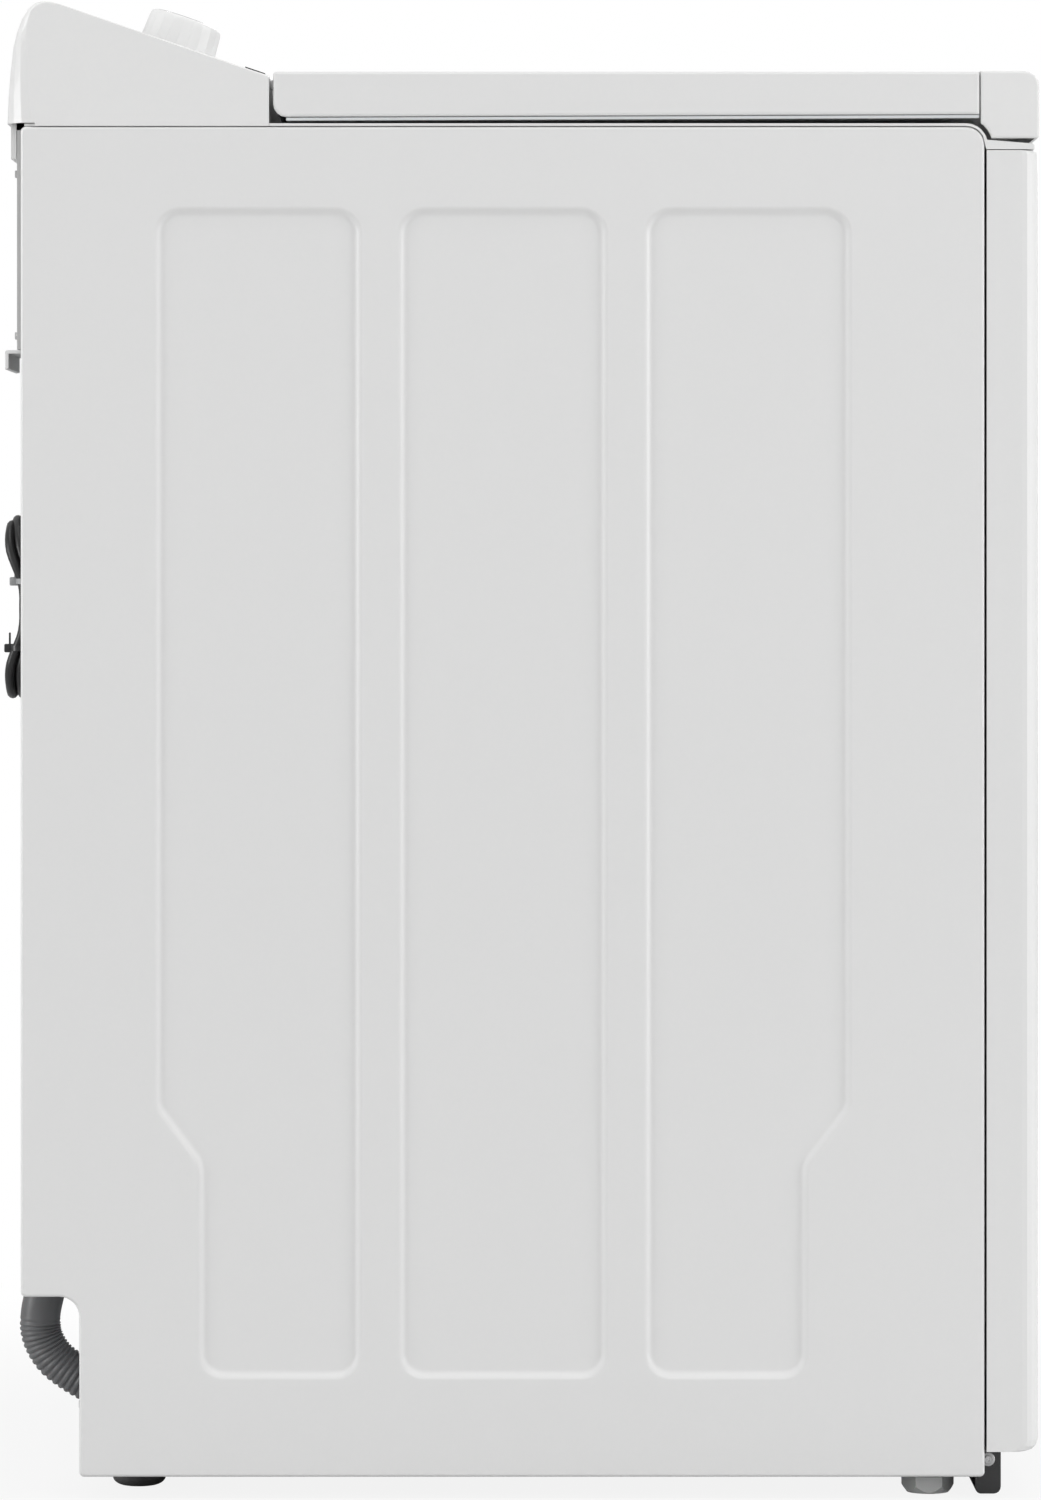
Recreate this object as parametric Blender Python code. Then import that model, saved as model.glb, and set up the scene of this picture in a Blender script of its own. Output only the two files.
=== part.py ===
"""A top-loading washing machine, 27 inches wide: a painted steel cabinet with pressed side panels, a
full-width lid that hinges in front of the rear console, and a suspended tub with a direct-drive motor.

Metres, +Z up. X runs across the machine, the front faces -Y, and the origin is on the floor at the
middle of the machine's box."""

import math

import bmesh
import bpy
from mathutils import Matrix, Vector

# Driving dimensions.
HALF_W = 0.343
FRONT_Y = -0.3632
PANEL_FRONT_Y = -0.325
PANEL_REAR_Y = 0.350
PANEL_TOP = 0.9615
PANEL_BOTTOM = 0.016
LID_TOP = 1.000
CONSOLE_TOP = 1.0503
SHEET = 0.0012  # painted steel, with its coat
PLASTIC = 0.0025
GAP = 0.0004  # between pieces that touch
INNER_W = HALF_W - 0.0147  # inside the side panels' folded edges

# The rear step that leaves room for the hoses, and the plane of the rear panel beside it.
STEP_Y = 0.309
STEP_TOP = 0.142
BACK_Y = 0.306
PAD_Y = 0.338
PAD_X = -0.170

# The three pressed fields of a side panel: rear and front edge, and which edge steps in at the foot.
FIELD_TOP = 0.9044
FIELD_BOTTOM = 0.0850
FIELD_STEP_TOP = 0.2744
FIELD_STEP_BOTTOM = 0.2345
FIELD_STEP_IN = 0.0305
FIELDS = ((0.2559, 0.1117, "rear"), (0.0851, -0.0606, None), (-0.0872, -0.2314, "front"))
FIELD_DEPTH = 0.0025
FIELD_SLOPE = 0.004
FIELD_RADIUS = 0.018

# The console's sloping face, from its upper to its lower edge (Y, Z).
SLOPE_HIGH = (0.3238, 1.0484)
SLOPE_LOW = (0.1768, 0.9982)
CONSOLE_BOTTOM = 0.9642
CONSOLE_FRONT_Y = 0.1762

# The lid and its hinge line.
LID_HALF_W = 0.3425
LID_REAR_Y = 0.1733
LID_SEAM_Y = -0.3215
LID_BOTTOM = 0.9681
LID_RISE = 0.0019  # of its lower face, towards the front
LID_AXIS_Y = 0.1643
LID_AXIS_Z = 0.9935
HINGE_X = 0.300

# The tub's axis and the parts on it.
TUB_Y = -0.025
TUB_R = 0.294
TUB_BOTTOM = 0.200
TUB_TOP = 0.880
BASKET_R = 0.262
HUB_TOP = 0.250
STRUT_OFFSET = Vector((0.280, 0.270))

WHITE = ("painted_white", (0.80, 0.80, 0.80), 0.32, 0.0)
WHITE_PLASTIC = ("white_plastic", (0.82, 0.82, 0.82), 0.38, 0.0)
GREY_PLASTIC = ("grey_plastic", (0.30, 0.31, 0.32), 0.5, 0.0)
BLACK_PLASTIC = ("black_plastic", (0.02, 0.02, 0.02), 0.4, 0.0)
RUBBER = ("rubber", (0.03, 0.03, 0.03), 0.7, 0.0)
HOSE_GREY = ("hose_grey", (0.16, 0.16, 0.165), 0.5, 0.0)
STEEL = ("steel", (0.62, 0.62, 0.64), 0.28, 1.0)
ALUMINIUM = ("aluminium", (0.66, 0.67, 0.68), 0.42, 1.0)
CHROME = ("chrome", (0.75, 0.75, 0.77), 0.08, 1.0)
GLASS = ("smoked_glass", (0.10, 0.11, 0.12), 0.05, 0.0)
DISPLAY = ("display_black", (0.015, 0.015, 0.017), 0.08, 0.0)
COPPER = ("copper", (0.72, 0.36, 0.20), 0.35, 1.0)
BOARD = ("circuit_board", (0.02, 0.20, 0.08), 0.5, 0.0)


# ---------------------------------------------------------------- making objects


def material(finish):
    name, colour, roughness, metallic = finish
    made = bpy.data.materials.get(name)
    if made is None:
        made = bpy.data.materials.new(name)
        made.use_nodes = True
        shader = made.node_tree.nodes["Principled BSDF"]
        shader.inputs["Base Color"].default_value = (*colour, 1.0)
        shader.inputs["Roughness"].default_value = roughness
        shader.inputs["Metallic"].default_value = metallic
    return made


def new_object(name, mesh, finish):
    made = bpy.data.objects.new(name, mesh)
    bpy.context.scene.collection.objects.link(made)
    made.data.materials.append(material(finish))
    return made


def from_bmesh(name, bm, finish, smooth_under=35):
    mesh = bpy.data.meshes.new(name)
    bm.to_mesh(mesh)
    bm.free()
    mesh.shade_smooth()
    mesh.set_sharp_from_angle(angle=math.radians(smooth_under))
    return new_object(name, mesh, finish)


def cutter(made):
    made.hide_render = True
    made.display_type = "WIRE"
    return made


def boolean(target, tool, operation="DIFFERENCE"):
    modifier = target.modifiers.new(operation.lower(), "BOOLEAN")
    modifier.operation = operation
    modifier.solver = "EXACT"
    modifier.object = cutter(tool)
    return target


def solidify(made, thickness=SHEET):
    modifier = made.modifiers.new("sheet", "SOLIDIFY")
    modifier.thickness = thickness
    modifier.offset = -1.0
    modifier.use_even_offset = True
    return made


def turned_outwards(bm, towards):
    """The faces of an open sheet made consistent, with the largest one facing towards."""
    bmesh.ops.recalc_face_normals(bm, faces=bm.faces)
    largest = max(bm.faces, key=lambda face: face.calc_area())
    if largest.normal.dot(Vector(towards)) < 0:
        bmesh.ops.reverse_faces(bm, faces=bm.faces)


# ---------------------------------------------------------------- outlines


def rounded(corners, segments=4):
    """A closed outline from (a, b, radius) corners, with each round corner as an arc of points."""
    points = []
    count = len(corners)
    for i, (a, b, radius) in enumerate(corners):
        here = Vector((a, b))
        before = (Vector(corners[i - 1][:2]) - here).normalized()
        after = (Vector(corners[(i + 1) % count][:2]) - here).normalized()
        if radius <= 0:
            points.append(here)
            continue
        half = before.angle(after) / 2
        centre = here + (before + after).normalized() * (radius / math.sin(half))
        start = here + before * (radius / math.tan(half)) - centre
        end = here + after * (radius / math.tan(half)) - centre
        sweep = start.angle_signed(end)
        for step in range(segments + 1):
            turn = Matrix.Rotation(-sweep * step / segments, 2)
            points.append(centre + turn @ start)
    return points


def inset(corners, distance):
    """The corners of an anticlockwise outline moved inwards, with their radii changed to match."""
    moved = []
    count = len(corners)
    for i, (a, b, radius) in enumerate(corners):
        here = Vector((a, b))
        arriving = (here - Vector(corners[i - 1][:2])).normalized()
        leaving = (Vector(corners[(i + 1) % count][:2]) - here).normalized()
        turn = arriving.cross(leaving)
        inward_a = Vector((-arriving.y, arriving.x))
        inward_b = Vector((-leaving.y, leaving.x))
        shift = (inward_a + inward_b) * (distance / (1 + inward_a.dot(inward_b)))
        changed = radius - distance if turn > 0 else radius + distance
        moved.append((here.x + shift.x, here.y + shift.y, max(changed, 0.002)))
    return moved


def rectangle(low_a, high_a, low_b, high_b, radius=0.0):
    return [(low_a, low_b, radius), (high_a, low_b, radius), (high_a, high_b, radius),
            (low_a, high_b, radius)]


# ---------------------------------------------------------------- solids


def prism(name, outline, axis, low, high, finish, bevel=0.0):
    """An outline in the plane across axis, carried along it. X takes (Y, Z), Y takes (X, Z), Z takes (X, Y)."""
    place = {"X": lambda p, t: (t, p[0], p[1]), "Y": lambda p, t: (p[0], t, p[1]), "Z": lambda p,
             t: (p[0], p[1], t)}
    bm = bmesh.new()
    near = [bm.verts.new(place[axis](p, low)) for p in outline]
    far = [bm.verts.new(place[axis](p, high)) for p in outline]
    ends = [bm.faces.new(near), bm.faces.new(far)]
    for i in range(len(outline)):
        j = (i + 1) % len(outline)
        bm.faces.new((near[i], near[j], far[j], far[i]))
    bmesh.ops.recalc_face_normals(bm, faces=bm.faces)
    if bevel > 0:
        rim = [edge for face in ends for edge in face.edges]
        bmesh.ops.bevel(bm, geom=rim, offset=bevel, segments=2, profile=0.5, affect="EDGES",
                        clamp_overlap=True)
    return from_bmesh(name, bm, finish)


def block(name, low, high, finish=WHITE, bevel=0.0):
    made = prism(name, [Vector(p[:2]) for p in rectangle(low[0], high[0], low[1], high[1])],
                 "Z", low[2], high[2], finish)
    if bevel > 0:
        modifier = made.modifiers.new("round", "BEVEL")
        modifier.width = bevel
        modifier.segments = 2
    return made


def turned(name, profile, finish, segments=32, centre=(0.0, 0.0), phase=0.0):
    """A solid of revolution about a vertical axis, from a closed profile of (radius, height)."""
    bm = bmesh.new()
    rings = []
    for radius, height in profile:
        if radius <= 0:
            rings.append([bm.verts.new((centre[0], centre[1], height))])
            continue
        rings.append([
            bm.verts.new((
                centre[0] + radius * math.cos(phase + 2 * math.pi * i / segments),
                centre[1] + radius * math.sin(phase + 2 * math.pi * i / segments),
                height,
            ))
            for i in range(segments)
        ])
    for k, ring in enumerate(rings):
        following = rings[(k + 1) % len(rings)]
        if len(ring) == 1 and len(following) == 1:
            continue
        for i in range(segments):
            j = (i + 1) % segments
            if len(ring) == 1:
                bm.faces.new((ring[0], following[j], following[i]))
            elif len(following) == 1:
                bm.faces.new((ring[i], ring[j], following[0]))
            else:
                bm.faces.new((ring[i], ring[j], following[j], following[i]))
    bmesh.ops.recalc_face_normals(bm, faces=bm.faces)
    return from_bmesh(name, bm, finish)


def disc_profile(radius, low, high, bore=0.0):
    return [(bore, low), (radius, low), (radius, high), (bore, high)]


def rod(name, start, end, radius, finish, segments=16):
    """A plain cylinder between two points."""
    start, end = Vector(start), Vector(end)
    made = turned(name, disc_profile(radius, 0.0, (end - start).length), finish, segments)
    made.location = start
    made.rotation_euler = (end - start).to_track_quat("Z", "Y").to_euler()
    return made


def tube(name, route, radius, finish, resolution=2, count=48):
    """A curve object with a round section, through points read from a smooth curve."""
    curve = bpy.data.curves.new(name, "CURVE")
    curve.dimensions = "3D"
    points = smooth(route, count)
    spline = curve.splines.new("POLY")
    spline.points.add(len(points) - 1)
    for point, at in zip(spline.points, points):
        point.co = (*at, 1.0)
    curve.bevel_depth = radius
    curve.bevel_resolution = resolution
    curve.use_fill_caps = True
    return new_object(name, curve, finish)


def smooth(route, count):
    """Evenly spaced points on a Catmull-Rom curve through the route's points."""
    ends = [2 * Vector(route[0]) - Vector(route[1]), 2 * Vector(route[-1]) - Vector(route[-2])]
    knots = [ends[0], *map(Vector, route), ends[1]]
    fine = []
    for i in range(1, len(knots) - 2):
        before, here, there, after = knots[i - 1:i + 3]
        for step in range(16):
            t = step / 16
            fine.append(0.5 * (2 * here + (there - before) * t + (2 * before - 5 * here + 4 * there - after) * t * t
                               + (3 * here - before - 3 * there + after) * t ** 3))
    fine.append(knots[-2])
    lengths = [0.0]
    for a, b in zip(fine, fine[1:]):
        lengths.append(lengths[-1] + (b - a).length)
    points, k = [], 0
    for i in range(count):
        wanted = lengths[-1] * i / (count - 1)
        while k < len(fine) - 2 and lengths[k + 1] < wanted:
            k += 1
        share = (wanted - lengths[k]) / max(lengths[k + 1] - lengths[k], 1e-9)
        points.append(fine[k].lerp(fine[k + 1], min(share, 1.0)))
    return points


def pressed_sheet(name, outline, fields, finish, place, towards, fold):
    """A sheet with a folded edge and with pressed fields, each given as corners and a depth.
    place puts a point of the sheet's plane, at a depth behind its face, into the machine."""
    bm = bmesh.new()
    edge = [bm.verts.new(place(p, 0.0)) for p in outline]
    rings = [edge]
    for corners, depth, slope in fields:
        upper = [bm.verts.new(place(p, 0.0)) for p in rounded(corners)]
        lower = [bm.verts.new(place(p, depth)) for p in rounded(inset(corners, slope))]
        rings.append(upper)
        for i in range(len(upper)):
            j = (i + 1) % len(upper)
            bm.faces.new((upper[i], upper[j], lower[j], lower[i]))
        bm.faces.new(lower)
    border = []
    for ring in rings:
        for i in range(len(ring)):
            pair = (ring[i], ring[(i + 1) % len(ring)])
            border.append(bm.edges.get(pair) or bm.edges.new(pair))
    bmesh.ops.triangle_fill(bm, use_beauty=True, use_dissolve=False, edges=border)
    if fold > 0:
        back = [bm.verts.new(place(p, fold)) for p in outline]
        for i in range(len(edge)):
            j = (i + 1) % len(edge)
            bm.faces.new((edge[i], edge[j], back[j], back[i]))
    turned_outwards(bm, towards)
    return solidify(from_bmesh(name, bm, finish))


# ---------------------------------------------------------------- the cabinet


def side_panel(name, side):
    """A folded steel side with three pressed fields. side is -1 on the left and 1 on the right."""
    outline = rounded([
        (PANEL_REAR_Y, PANEL_TOP, 0.0025), (PANEL_FRONT_Y, PANEL_TOP, 0.013),
        (PANEL_FRONT_Y, PANEL_BOTTOM, 0.003),
        (STEP_Y, PANEL_BOTTOM, 0.003), (STEP_Y, STEP_TOP, 0.014), (PANEL_REAR_Y, STEP_TOP, 0.003),
    ])
    fields = []
    for rear, front, stepped in FIELDS:
        corners = [(front, FIELD_BOTTOM), (rear, FIELD_BOTTOM), (rear, FIELD_TOP), (front, FIELD_TOP)]
        if stepped == "rear":
            narrow = rear - FIELD_STEP_IN
            corners[1:2] = [(narrow, FIELD_BOTTOM), (narrow, FIELD_STEP_BOTTOM), (rear, FIELD_STEP_TOP)]
        elif stepped == "front":
            narrow = front + FIELD_STEP_IN
            corners[0:1] = [(narrow, FIELD_BOTTOM)]
            corners.extend([(front, FIELD_STEP_TOP), (narrow, FIELD_STEP_BOTTOM)])
        fields.append(([(a, b, FIELD_RADIUS) for a, b in corners], FIELD_DEPTH, FIELD_SLOPE))
    return pressed_sheet(name, outline, fields, WHITE, lambda p,
                         depth: (side * (HALF_W - depth), p[0], p[1]),
                         (side, 0, 0), fold=0.014)


def front_solid(name, thinner=0.0):
    """A panel-shaped solid with round vertical edges and a rounded foot, or its inside when thinner is given."""
    front, back, half_w = -0.3630 + thinner, -0.3264 + thinner, HALF_W - thinner
    top, bottom, corner = 0.945 - thinner, 0.0336 + thinner, 0.012 - thinner
    foot_radius, head_radius = 0.008 - thinner, 0.0025 - thinner
    levels = []
    for k in range(4):
        turn = math.pi / 2 * k / 3
        levels.append((bottom + foot_radius * (1 - math.cos(turn)), foot_radius * (1 - math.sin(turn))))
    for k in range(3):
        turn = math.pi / 2 * k / 2
        levels.append((top - head_radius * (1 - math.sin(turn)), head_radius * (1 - math.cos(turn))))
    bm = bmesh.new()
    rows = []
    for height, set_back in levels:
        outline = rounded([(-half_w, back, 0), (-half_w, front + set_back, corner),
                           (half_w, front + set_back, corner), (half_w, back, 0)], segments=5)
        rows.append([bm.verts.new((p.x, p.y, height)) for p in outline])
    for lower, upper in zip(rows, rows[1:]):
        for i in range(len(lower)):
            j = (i + 1) % len(lower)
            bm.faces.new((lower[i], lower[j], upper[j], upper[i]))
    bm.faces.new(rows[0])
    bm.faces.new(rows[-1])
    bmesh.ops.recalc_face_normals(bm, faces=bm.faces)
    return from_bmesh(name, bm, WHITE)


def front_panel():
    """The steel front: one sheet folded back at both sides, the top and the rounded foot."""
    return boolean(front_solid("front_panel"), front_solid("cut_front_inside", SHEET))


def rear_panel():
    """The steel back: a deep pad stands out to the rear, which leaves a hose channel at its left and foot."""
    outline = [Vector(p[:2]) for p in rectangle(-INNER_W, INNER_W, 0.030, 0.938)]
    pad = rectangle(PAD_X, 0.3265, STEP_TOP, 0.9335, 0.010)
    made = pressed_sheet("rear_panel", outline, [(pad, BACK_Y - PAD_Y, 0.003)], WHITE,
                         lambda p, depth: (p[0], BACK_Y - depth, p[1]), (0, 1, 0), fold=0.0)
    boolean(made, rod("cut_hose_exit", *HOSE_EXIT, 0.021, WHITE, 16))
    for x in VALVE_X:
        boolean(made, rod("cut_valve_port", (x, 0.30, VALVE_Z), (x, 0.36, VALVE_Z), 0.0150, WHITE, 16))
    return made


def base_frame():
    """The moulded base: a tray inside the cabinet, with the front lip that shows under the front panel."""
    outer = [Vector(p[:2]) for p in rectangle(-0.326, 0.326, -0.3235, 0.3045)]
    made = prism("base_frame", outer, "Z", 0.018, 0.075, BLACK_PLASTIC)
    boolean(made, block("cut_tray", (-0.3225, -0.3195, 0.023), (0.3225, 0.3010, 0.09)))
    boolean(made, turned("cut_middle", disc_profile(0.170, 0.0, 0.05), WHITE, 24, (0.0, TUB_Y)))
    lip = rounded([(-0.3195, 0.0325, 0), (-0.3375, 0.0325, 0), (-0.3375, 0.002, 0.005),
                   (-0.3195, 0.002, 0.004)])
    boolean(made, prism("add_lip", lip, "X", -0.326, 0.326, BLACK_PLASTIC), "UNION")
    for x, y, _ in FEET:
        boolean(made, turned("cut_stud", disc_profile(0.0058, 0.0, 0.06), WHITE, 12, (x, y)))
    boolean(made, rod("cut_hose_way", *HOSE_EXIT, 0.019, WHITE, 16))
    return made


FOOT_FRONT = (0.299, -0.2877)
FOOT_REAR = (0.266, 0.2713)
FEET = [(side * x, y, kind) for (x, y),
        kind in ((FOOT_FRONT, "front"), (FOOT_REAR, "rear")) for side in (-1, 1)]


def foot(name, x, y, kind):
    """A levelling foot with its stud: a hexagon at the front, a bowl-shaped rubber pad at the rear."""
    if kind == "front":
        pad, stud, height = 0.0185, 0.005, 0.0125
        profile = [(0, 0), (pad - 0.0015, 0), (pad, 0.0015), (pad, height), (stud, height), (stud, 0.048),
                   (0, 0.048)]
        return turned(name, profile, GREY_PLASTIC, 6, (x, y), math.pi / 6)
    profile = [(0, 0), (0.0095, 0), (0.0140, 0.0010), (0.0172, 0.0027), (0.0188, 0.0052), (0.0188, 0.0105),
               (0.012, 0.0128), (0.005, 0.0128), (0.005, 0.048), (0, 0.048)]
    return turned(name, profile, RUBBER, 24, (x, y))


# ---------------------------------------------------------------- the top

OPENING_X = 0.222
OPENING_FRONT_Y = -0.262
OPENING_REAR_Y = 0.092
COVER_TOP = 0.9637
DRAWER_X = (-0.165, -0.035)
LOCK_AT = (0.262, -0.262)


def opening_outline(grown=0.0):
    """The wash opening: straight at the rear and rounded towards the front."""
    return rounded([
        (-OPENING_X - grown, OPENING_REAR_Y + grown, 0.040 + grown),
        (-OPENING_X - grown, OPENING_FRONT_Y - grown, 0.170 + grown),
        (OPENING_X + grown, OPENING_FRONT_Y - grown, 0.170 + grown),
        (OPENING_X + grown, OPENING_REAR_Y + grown, 0.040 + grown),
    ], segments=8)


def top_cover():
    """The moulded top: a plate with a step down at its front edge, and a splash skirt round the opening."""
    step_centre, step_radius = Vector((-0.312, 0.9485)), 0.0152
    upper = [Vector((0.3475, COVER_TOP))]
    lower = [Vector((0.3475, PANEL_TOP + GAP))]
    for k in range(6):
        turn = math.radians(90 + 76 * k / 5)
        out = Vector((math.cos(turn), math.sin(turn)))
        upper.append(step_centre + out * step_radius)
        lower.append(step_centre + out * (step_radius - 0.0018))
    front = [Vector((-0.3585, 0.9496)), Vector((-0.3598, 0.9484)), Vector((-0.3598, 0.9456))]
    made = prism("top_cover", upper + front + [Vector((-0.3262, 0.9456))] + lower[-2::-1],
                 "X", -HALF_W, HALF_W, WHITE_PLASTIC)
    bm = bmesh.new()
    rings = []
    for grown, height in ((0.0022, COVER_TOP - 0.0012), (-0.0030, COVER_TOP - 0.0012), (-0.0085, 0.9160),
                          (-0.0060, 0.9160),
                          (0.0022, 0.9560)):
        rings.append([bm.verts.new((p.x, p.y, height)) for p in opening_outline(grown)])
    for k, ring in enumerate(rings):
        following = rings[(k + 1) % len(rings)]
        for i in range(len(ring)):
            j = (i + 1) % len(ring)
            bm.faces.new((ring[i], ring[j], following[j], following[i]))
    bmesh.ops.recalc_face_normals(bm, faces=bm.faces)
    skirt = from_bmesh("add_skirt", bm, WHITE_PLASTIC)
    boolean(made, prism("cut_opening", opening_outline(), "Z", 0.90, 0.98, WHITE))
    boolean(made, skirt, "UNION")
    boolean(made,
            block("cut_drawer_way", (DRAWER_X[0] - 0.001, 0.05, 0.9100),
                  (DRAWER_X[1] + 0.001, 0.1005, 0.9560)))
    boolean(made, turned("cut_bolt_way", disc_profile(0.006, 0.93, 0.98), WHITE, 12, LOCK_AT))
    for side in (-1, 1):
        near, far = sorted((side * (HALF_W - 0.0026), side * 0.35))
        boolean(made, block("cut_skirt_way", (near, CONSOLE_FRONT_Y - GAP, 0.95), (far, 0.36, 0.98)))
    return made


def dispenser_housing():
    low, high = Vector((DRAWER_X[0], 0.1010, 0.9120)), Vector((DRAWER_X[1], 0.1720, 0.9575))
    made = block("dispenser_housing", low, high, WHITE_PLASTIC)
    wall = Vector((0.002, 0.0, 0.002))
    return boolean(made,
                   block("cut_housing", low + wall - Vector((0, 0.02, 0)),
                         high - wall - Vector((0, 0.002, 0))))


def detergent_drawer():
    low, high = Vector((DRAWER_X[0] + 0.0035, 0.0965, 0.9150)), Vector((DRAWER_X[1] - 0.0035, 0.1685,
                                                                        0.9530))
    made = block("detergent_drawer", low, high, WHITE_PLASTIC)
    boolean(made,
            block("cut_tray_left", low + Vector((0.002, 0.004, 0.002)), (-0.102, high.y - 0.002, 0.97)))
    boolean(made,
            block("cut_tray_right", (-0.100, low.y + 0.004, low.z + 0.002),
                  (high.x - 0.002, high.y - 0.002, 0.97)))
    return boolean(made, block("add_pull", (-0.125, 0.0905, 0.9440), (-0.075, 0.0975, 0.9465)), "UNION")


# ---------------------------------------------------------------- the console


def slope_frame(x, along):
    """A frame on the console's face: local Z points out of it, X across, and along counts up from its lower edge."""
    low, high = Vector((0, *SLOPE_LOW)), Vector((0, *SLOPE_HIGH))
    uphill = (high - low).normalized()
    out = Vector((1, 0, 0)).cross(uphill)
    at = low + uphill * along + Vector((x, 0, 0))
    return Matrix((
        (1, uphill.x, out.x, at.x), (0, uphill.y, out.y, at.y), (0, uphill.z, out.z, at.z), (0, 0, 0, 1),
    ))


def on_slope(made, x, along):
    made.matrix_world = slope_frame(x, along)
    return made


KNOB_AT = (-0.200, 0.0767)
KNOB_HEIGHT = 0.0275
ROW_ALONG = 0.0105
BUTTON_SIZE = (0.0170, 0.0085)
OPTION_X = (0.165, 0.205, 0.245, 0.285)
POWER_AT = (0.190, 0.0740)
START_AT = (0.260, 0.0740)
DISPLAY_X = (-0.326, 0.130)
DISPLAY_HALF = 0.0077


def console_profile(shrunk):
    """The console's outline in (Y, Z), open at the bottom. shrunk is how far the rear and top are drawn in."""
    nose = [(0.3605, CONSOLE_BOTTOM), (0.3597, 0.9835), (0.3583, 1.0010), (0.3563, 1.0185),
            (0.3540, 1.0280),
            (0.3501, 1.0378), (0.3456, 1.0448), (0.3409, 1.0489), (0.3357, CONSOLE_TOP), (0.3304, 1.0499),
            SLOPE_HIGH]
    moved = []
    for k, (y, z) in enumerate(nose):
        share = min(k / 6, 1.0)
        moved.append(Vector((y - shrunk * (1 - 0.85 * share), z - 0.12 * shrunk * share)))
    face = 0.10 * shrunk
    return moved + [Vector((SLOPE_LOW[0] + 0.012, SLOPE_LOW[1] + 0.0039 - face)),
                    Vector((SLOPE_LOW[0], SLOPE_LOW[1] - face)),
                    Vector((CONSOLE_FRONT_Y, 0.9960)), Vector((CONSOLE_FRONT_Y, CONSOLE_BOTTOM))]


def console_solid(name, thinner=0.0):
    """The console as a closed solid with rounded rear corners, or its inside when thinner is given."""
    radius, half_w = 0.018 - thinner, HALF_W - thinner
    stations = []
    for k in range(5):
        turn = math.pi / 2 * k / 4
        stations.append((-half_w + radius * (1 - math.cos(turn)), radius * (1 - math.sin(turn))))
    stations += [(-x, shrunk) for x, shrunk in reversed(stations)]
    bm = bmesh.new()
    rows = []
    for x, shrunk in stations:
        profile = console_profile(shrunk)
        if thinner > 0:
            profile = [Vector(p[:2]) for p in inset([(p.x, p.y, 0) for p in profile], thinner)]
            profile[0].y = profile[-1].y = CONSOLE_BOTTOM - 0.01
        rows.append([bm.verts.new((x, p.x, p.y)) for p in profile])
    for near, far in zip(rows, rows[1:]):
        for i in range(len(near)):
            j = (i + 1) % len(near)
            bm.faces.new((near[i], near[j], far[j], far[i]))
    bm.faces.new(rows[0])
    bm.faces.new(rows[-1])
    bmesh.ops.recalc_face_normals(bm, faces=bm.faces)
    bmesh.ops.triangulate(bm, faces=bm.faces)
    return from_bmesh(name, bm, WHITE_PLASTIC)


def console_housing():
    """The console's cover: a moulded shell, open underneath, with a skirt at the rear and seats for the controls."""
    made = boolean(console_solid("console_housing"), console_solid("cut_console_inside", PLASTIC))
    boolean(made, block("add_rear_skirt", (-0.322, 0.3545, 0.9400), (0.322, 0.3583, 0.9700), WHITE_PLASTIC),
            "UNION")
    for side in (-1, 1):
        near, far = sorted((side * HALF_W, side * (HALF_W - 0.0022)))
        skirt = block("add_side_skirt", (near, CONSOLE_FRONT_Y, PANEL_TOP + GAP), (far, 0.3400, 0.9680),
                      WHITE_PLASTIC)
        boolean(made, skirt, "UNION")
    boolean(made,
            on_slope(turned("cut_knob_seat", disc_profile(0.0315, -0.0012, 0.01), WHITE, 32), *KNOB_AT))
    boolean(made, on_slope(turned("cut_knob_shaft", disc_profile(0.008, -0.01, 0.01), WHITE, 16), *KNOB_AT))
    boolean(made,
            on_slope(block("cut_display", (DISPLAY_X[0], -DISPLAY_HALF, -0.0012),
                           (DISPLAY_X[1], DISPLAY_HALF, 0.01)),
                           0.0, ROW_ALONG))
    for x in OPTION_X:
        boolean(made, on_slope(button_block("cut_option", BUTTON_SIZE, 0.0006, -0.01), x, ROW_ALONG))
    for x, along in (POWER_AT, START_AT):
        boolean(made,
                on_slope(turned("cut_round_button", disc_profile(0.0156, -0.01, 0.01), WHITE, 24), x,
                         along))
    return made


def button_block(name, size, grown=0.0, low=-0.0060, high=0.0):
    half_a, half_b = size[0] / 2 + grown, size[1] / 2 + grown
    outline = rounded(rectangle(-half_a, half_a, -half_b, half_b, 0.002), segments=2)
    top = 0.01 if grown else 0.0012
    return prism(name, outline, "Z", low, top + high, WHITE_PLASTIC, 0.0 if grown else 0.0005)


def controls():
    """The knob with its trim and seat, the display window and the buttons."""
    facets, height = 24, KNOB_HEIGHT
    body = [(0, 0.0004), (0.0288, 0.0004), (0.0288, 0.0040), (0.0266, height - 0.0030),
            (0.0244, height - 0.0010),
            (0.0225, height - 0.0010), (0.0225, height - 0.0030), (0, height - 0.0030)]
    on_slope(turned("knob_body", body, WHITE_PLASTIC, facets), *KNOB_AT)
    trim = [(0, height - 0.0026), (0.0221, height - 0.0026), (0.0221, height - 0.0012), (0.0205, height),
            (0, height)]
    on_slope(turned("knob_trim", trim, CHROME, facets), *KNOB_AT)
    on_slope(turned("knob_bezel", disc_profile(0.0311, -0.0008, 0.0, 0.0085), BLACK_PLASTIC, 32), *KNOB_AT)
    window = block("display_window", (DISPLAY_X[0] + GAP, GAP - DISPLAY_HALF, -0.0008),
                   (DISPLAY_X[1] - GAP, DISPLAY_HALF - GAP, 0.0009), DISPLAY)
    on_slope(window, 0.0, ROW_ALONG)
    for number, x in enumerate(OPTION_X, start=1):
        on_slope(button_block(f"option_button_{number}", BUTTON_SIZE), x, ROW_ALONG)
    for name, (x, along) in (("power_button", POWER_AT), ("start_button", START_AT)):
        profile = [(0, -0.006), (0.0150, -0.006), (0.0150, 0.0006), (0.0144, 0.0014), (0, 0.0010)]
        on_slope(turned(name, profile, WHITE_PLASTIC, 24), x, along)


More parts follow.
